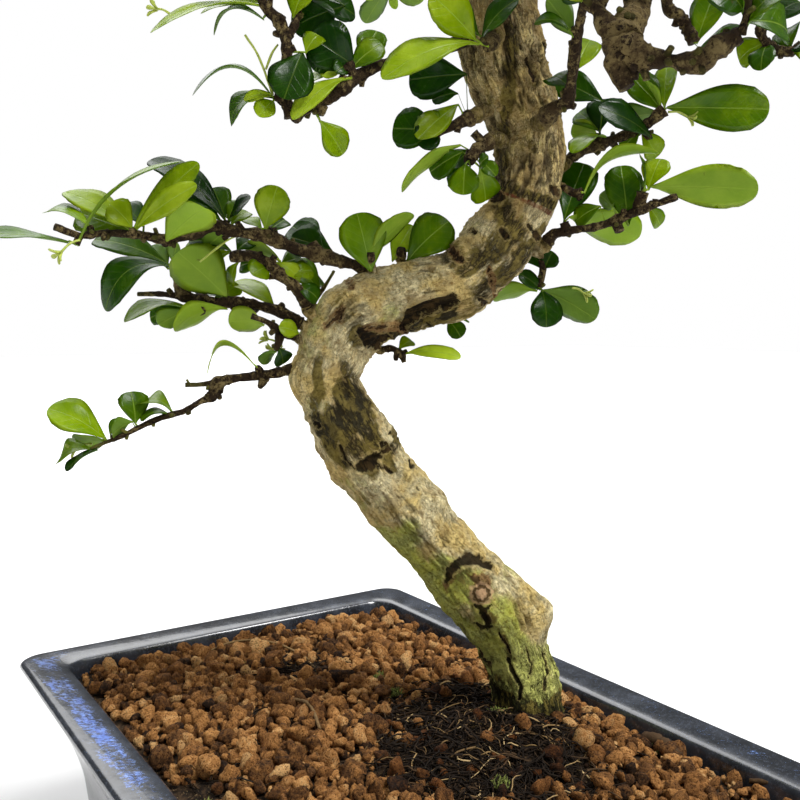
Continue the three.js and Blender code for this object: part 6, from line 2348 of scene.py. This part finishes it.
    def _add_collars(self, surface: Surface) -> None:
        """Adds a flared collar of wood under each branch, from the trunk's line to just short of its stem.

        Args:
            surface: Where they are added.
        """
        form = StemForm(sides=self.collar_sides, step=1.4, knob=0.12, ripple=0.12)
        places = np.array(TRUNK_STATIONS)[:, :3]
        for order, growth in enumerate(BRANCHES.values()):
            first, second = growth.runs()[0][:2]
            foot, radius = first[:3], first[3]
            way = unit(second[:3] - foot)
            nearest = places[int(np.argmin(np.linalg.norm(places - foot, axis=-1)))]
            shoulder = foot - way * (1.2 + radius)
            stations = [[*nearest, radius * 1.2], [*shoulder, radius], [*(foot - 0.3 * way), radius]]
            grid, _ = form.tube(np.array(stations), self.seed + 100 + order)
            end = ramp(5.0, 1.0, np.linalg.norm(grid - foot, axis=-1))
            plain = np.zeros_like(end)
            mark = np.stack([0.2 + 0.2 * end, 0.25 * end, plain], axis=-1)
            tone = np.stack([0.3 + plain, 0.1 * end, 0.35 + 0.5 * end], axis=-1)
            surface.add_grids(into_pot_frame(grid), wrapped=True, mark=mark, tone=tone, flow=grid)


# What lies on the soil


@dataclass(frozen=True)
class Litter:
    """Fine roots, dry twigs and moss on the soil.

    Attributes:
        strands: How many fine roots there are.
        strand_rows: Points along each of them.
        strand_sides: Points round it.
        margin: How far they keep from the bed's edge.
        tuft_shoots: Shoots in each tuft of moss.
        seed: The seed of the random draws.
        moss: The tufts' places, as right, away and radius.
        sticks: The stations of each dry twig, as right, away, height above the bed and radius.
    """

    strands: int = 1850
    strand_rows: int = 8
    strand_sides: int = 3
    margin: float = 6.4
    tuft_shoots: int = 90
    seed: int = 12
    moss: tuple[tuple[float, float, float], ...] = (
        (-60.1, 65.6, 4.5), (-4.9, 48.7, 4.0), (97.0, -10.5, 4.5), (93.5, -4.0, 4.0), (2.0, 30.0, 3.5),
        (-58.0, -50.0, 3.5), (36.0, -44.0, 3.0), (44.0, 26.0, 4.0), (66.0, 20.0, 4.0), (40.0, 4.0, 3.0),
    )
    sticks: tuple[tuple[tuple[float, float, float, float], ...], ...] = (
        ((113.2, 9.8, 2.0, 0.6), (116.5, 3.0, 4.0, 0.6), (119.3, -5.3, 2.0, 0.5)),
        ((119.8, -32.5, 3.0, 0.9), (126.0, -37.5, 4.5, 0.9), (132.7, -41.1, 3.0, 0.8)),
        ((-39.7, 23.4, 3.0, 0.8), (-31.0, 12.0, 5.5, 0.7), (-25.7, -2.9, 3.0, 0.6)),
        (
            (-86.0, 84.0, 2.0, 0.5), (-76.0, 90.0, 4.5, 0.5), (-64.0, 90.6, 5.0, 0.5),
            (-50.0, 83.0, 4.5, 0.5), (-36.3, 69.2, 2.0, 0.5),
        ),
        ((92.8, -2.9, 3.0, 2.0), (97.0, -10.0, 4.0, 2.3), (100.8, -18.4, 3.0, 1.8)),
    )

    def _add_strands(self, surface: Surface, bed: SoilBed) -> None:
        """Adds fine roots whose headings wander, crowded where the soil is bare of grains.

        Args:
            surface: Where they are added.
            bed: The bed they lie on.
        """
        draw = np.random.default_rng(self.seed)
        x = draw.uniform(-bed.half_length + 8.0, bed.half_length - 8.0, self.strands * 12)
        y = draw.uniform(-bed.half_width + 8.0, bed.half_width - 8.0, self.strands * 12)
        keep = np.flatnonzero(draw.random(len(x)) < 0.015 + bareness(x, y))[: self.strands]
        count = len(keep)
        turn = np.cumsum(draw.normal(0.0, 0.4, (count, self.strand_rows)), axis=1)
        heading = draw.uniform(0.0, 2.0 * np.pi, (count, 1)) + turn
        step = draw.uniform(8.0, 26.0, (count, 1)) / self.strand_rows
        far_x, far_y = bed.half_length - self.margin, bed.half_width - self.margin
        px = np.clip(x[keep, None] + np.cumsum(step * np.cos(heading), axis=1), -far_x, far_x)
        py = np.clip(y[keep, None] + np.cumsum(step * np.sin(heading), axis=1), -far_y, far_y)
        share = np.linspace(0.0, 1.0, self.strand_rows)
        lift = draw.uniform(0.2, 3.2, (count, 1)) * 4.0 * share * (1.0 - share)
        path = np.stack([px, py, bed.height(px, py) + 0.5 + lift], axis=-1)
        tangent = unit(np.gradient(path, axis=1))
        side = across_of(np.cross(tangent, UP) + 1e-6, tangent)
        over = np.cross(tangent, side)
        angle = 2.0 * np.pi * np.arange(self.strand_sides) / self.strand_sides
        ring = side[:, :, None] * np.cos(angle)[:, None] + over[:, :, None] * np.sin(angle)[:, None]
        taper = np.sin(np.pi * np.clip(share * 0.9 + 0.1, 0.0, 1.0)) ** 0.4
        thick = draw.uniform(0.16, 0.4, (count, 1)) * taper
        thick[:, [0, -1]] = 0.0
        grids = path[:, :, None] + ring * thick[:, :, None, None]
        shade = draw.uniform(0.0, 1.0, count) ** 7.0
        tone = np.broadcast_to(shade[:, None, None, None] * np.array([1.0, 0.0, 0.0]), grids.shape)
        surface.add_grids(grids, wrapped=True, tone=tone)

    def _add_moss(self, surface: Surface, bed: SoilBed) -> None:
        """Adds tufts of short pointed shoots.

        Args:
            surface: Where they are added.
            bed: The bed they grow on.
        """
        draw = np.random.default_rng(self.seed + 1)
        around = 0.5 * np.pi * np.arange(4)
        ring = np.stack([np.cos(around), np.sin(around), np.zeros(4)], axis=-1) * 0.3
        for right, away, radius in self.moss:
            spread = radius * np.sqrt(draw.random(self.tuft_shoots))
            turn = draw.uniform(0.0, 2.0 * np.pi, self.tuft_shoots)
            seen = np.stack(
                [right + spread * np.cos(turn), away + spread * np.sin(turn), np.zeros_like(turn)], axis=-1
            )
            foot = into_pot_frame(seen)
            foot[:, 2] = bed.height(foot[:, 0], foot[:, 1]) + 1.6 - 0.12 * spread**2 / radius
            lean = draw.normal(0.0, 0.5, (self.tuft_shoots, 3)) + UP
            tip = foot + unit(lean) * draw.uniform(1.2, 3.0, (self.tuft_shoots, 1))
            low, high = (np.broadcast_to(end[:, None], (self.tuft_shoots, 4, 3)) for end in (foot, tip))
            grids = np.stack([low, low + ring, 0.4 * low + 0.6 * high + 0.8 * ring, high], axis=1)
            tone = draw.random((self.tuft_shoots, 1, 1, 1)) * np.array([1.0, 0.0, 0.0])
            tone = np.broadcast_to(tone, grids.shape)
            surface.add_grids(grids, wrapped=True, shade=Shade.LEAF, tone=tone)

    def build(self, bed: SoilBed) -> bpy.types.Object:
        """Makes the piece of all that lies on the soil.

        Args:
            bed: The bed that it lies on.

        Returns:
            The piece.
        """
        surface = Surface()
        self._add_strands(surface, bed)
        form = StemForm(8, 1.0, 0.2, 0.15, 0.2)
        for order, stick in enumerate(self.sticks):
            stations = np.array(stick)
            stations[:, :3] = into_pot_frame(stations[:, :3])
            stations[:, 2] += bed.height(stations[:, 0], stations[:, 1])
            grid, _ = form.tube(stations, 700 + order)
            tone = np.broadcast_to(np.array([0.45 + 0.1 * (order % 4), 0.0, 0.0]), grid.shape)
            surface.add_grids(grid, wrapped=True, tone=tone)
        self._add_moss(surface, bed)
        finishes = [StrandFinish().material(), MossFinish().material()]
        return surface.piece("roots_and_moss", finishes, None, "soil_grains")


# Light, floor and camera


@dataclass(frozen=True)
class Lamp:
    """A soft sun: where it shines from as right, away and up, its strength and its width in degrees."""

    name: str
    source: tuple[float, float, float]
    strength: float
    width: float


@dataclass(frozen=True)
class Studio:
    """The pale floor, the soft light and the camera at the photo's own place."""

    camera_place: tuple[float, float, float] = (3.5, -325.8, 232.0)
    pitch: float = 4.86
    lens: float = 41.3
    sensor: float = 36.0
    floor_size: float = 12.0
    white: Color = (1.0, 1.0, 1.0, 1.0)
    seen_white: float = 1.0
    fill: float = 0.85
    low_fill: float = 0.13
    soft_box: tuple[float, float, float] = (-0.2, 0.35, 0.9)
    box_glow: float = 2.2
    lamps: tuple[Lamp, ...] = (
        Lamp("key_sun", (0.60, -0.32, 0.92), 4.3, 24.0),
        Lamp("back_sun", (-0.35, 0.6, 0.75), 1.3, 50.0),
    )

    def build(self) -> None:
        """Sets the floor, the surroundings, the lamps and the camera."""
        bpy.ops.mesh.primitive_plane_add(size=self.floor_size, location=(0.0, 0.0, 0.0))
        floor = bpy.context.object
        floor.name = "pale_floor"
        floor.data.materials.append(FloorFinish().material())
        self._light()
        self._camera()

    def _light(self) -> None:
        """Makes the surroundings white where they are seen and softer where they light the plant."""
        world = bpy.data.worlds.new("white_studio")
        bpy.context.scene.world = world
        shader = Shader(world)
        x, y, z = shader.three(shader.node("ShaderNodeTexCoord", output="Generated"))
        box = [float(part) for part in into_pot_frame(unit(np.array(self.soft_box)))]
        above, towards = z.over(-0.1, 0.9), x * box[0] + y * box[1] + z * box[2]
        glow = above * (self.fill - self.low_fill) + self.low_fill
        mirrored = towards.over(0.75, 0.92) * self.box_glow + above * 0.25 + 0.08
        spread, gloss = (
            shader.node("ShaderNodeBackground", {}, {"Strength": strength}) for strength in (glow, mirrored)
        )
        white = shader.node("ShaderNodeBackground", {}, {"Color": self.white, "Strength": self.seen_white})
        shiny, seen = (
            shader.node("ShaderNodeLightPath", output=f"Is {kind} Ray") for kind in ("Glossy", "Camera")
        )
        lit = shader.blend(shiny, spread, gloss)
        shader.end(shader.blend(seen, lit, white), "ShaderNodeOutputWorld")
        for lamp in self.lamps:
            light = bpy.data.lights.new(lamp.name, "SUN")
            light.energy = lamp.strength
            light.angle = math.radians(lamp.width)
            made = bpy.data.objects.new(lamp.name, light)
            bpy.context.scene.collection.objects.link(made)
            source = into_pot_frame(np.array(lamp.source))
            made.rotation_mode = "QUATERNION"
            made.rotation_quaternion = Vector(source).to_track_quat("Z", "Y")
        bpy.context.scene.view_settings.view_transform = "Standard"

    def _camera(self) -> None:
        """Puts the camera where the photo was taken from, looking along the away axis and a little down."""
        camera = bpy.data.cameras.new("photo_view")
        camera.sensor_width = self.sensor
        camera.lens = self.lens
        camera.clip_start = 0.01
        made = bpy.data.objects.new("photo_view", camera)
        bpy.context.scene.collection.objects.link(made)
        made.location = into_pot_frame(np.array(self.camera_place)) * METRES
        down = math.radians(self.pitch)
        look = into_pot_frame(np.array([0.0, math.cos(down), -math.sin(down)]))
        made.rotation_mode = "QUATERNION"
        made.rotation_quaternion = Vector(look).to_track_quat("-Z", "Y")
        bpy.context.scene.camera = made


def main() -> None:
    """Builds every piece of the bonsai, then the studio."""
    logging.basicConfig(level=logging.INFO, format="%(message)s")
    Pot().build()
    DrainScreens().dress()
    bed = SoilBed()
    bed.build()
    clay = GrainFinish().material()
    for grains in GRAINS:
        grains.build(bed, clay)
    Litter().build(bed)
    Trunk().build()
    finishes = [TwigFinish().material(), LeafFinish().material(), BudFinish().material()]
    for seed, (node, growth) in enumerate(BRANCHES.items(), 1):
        Branch(node, growth, seed).build(finishes)
    Studio().build()


if __name__ == "__main__":
    main()
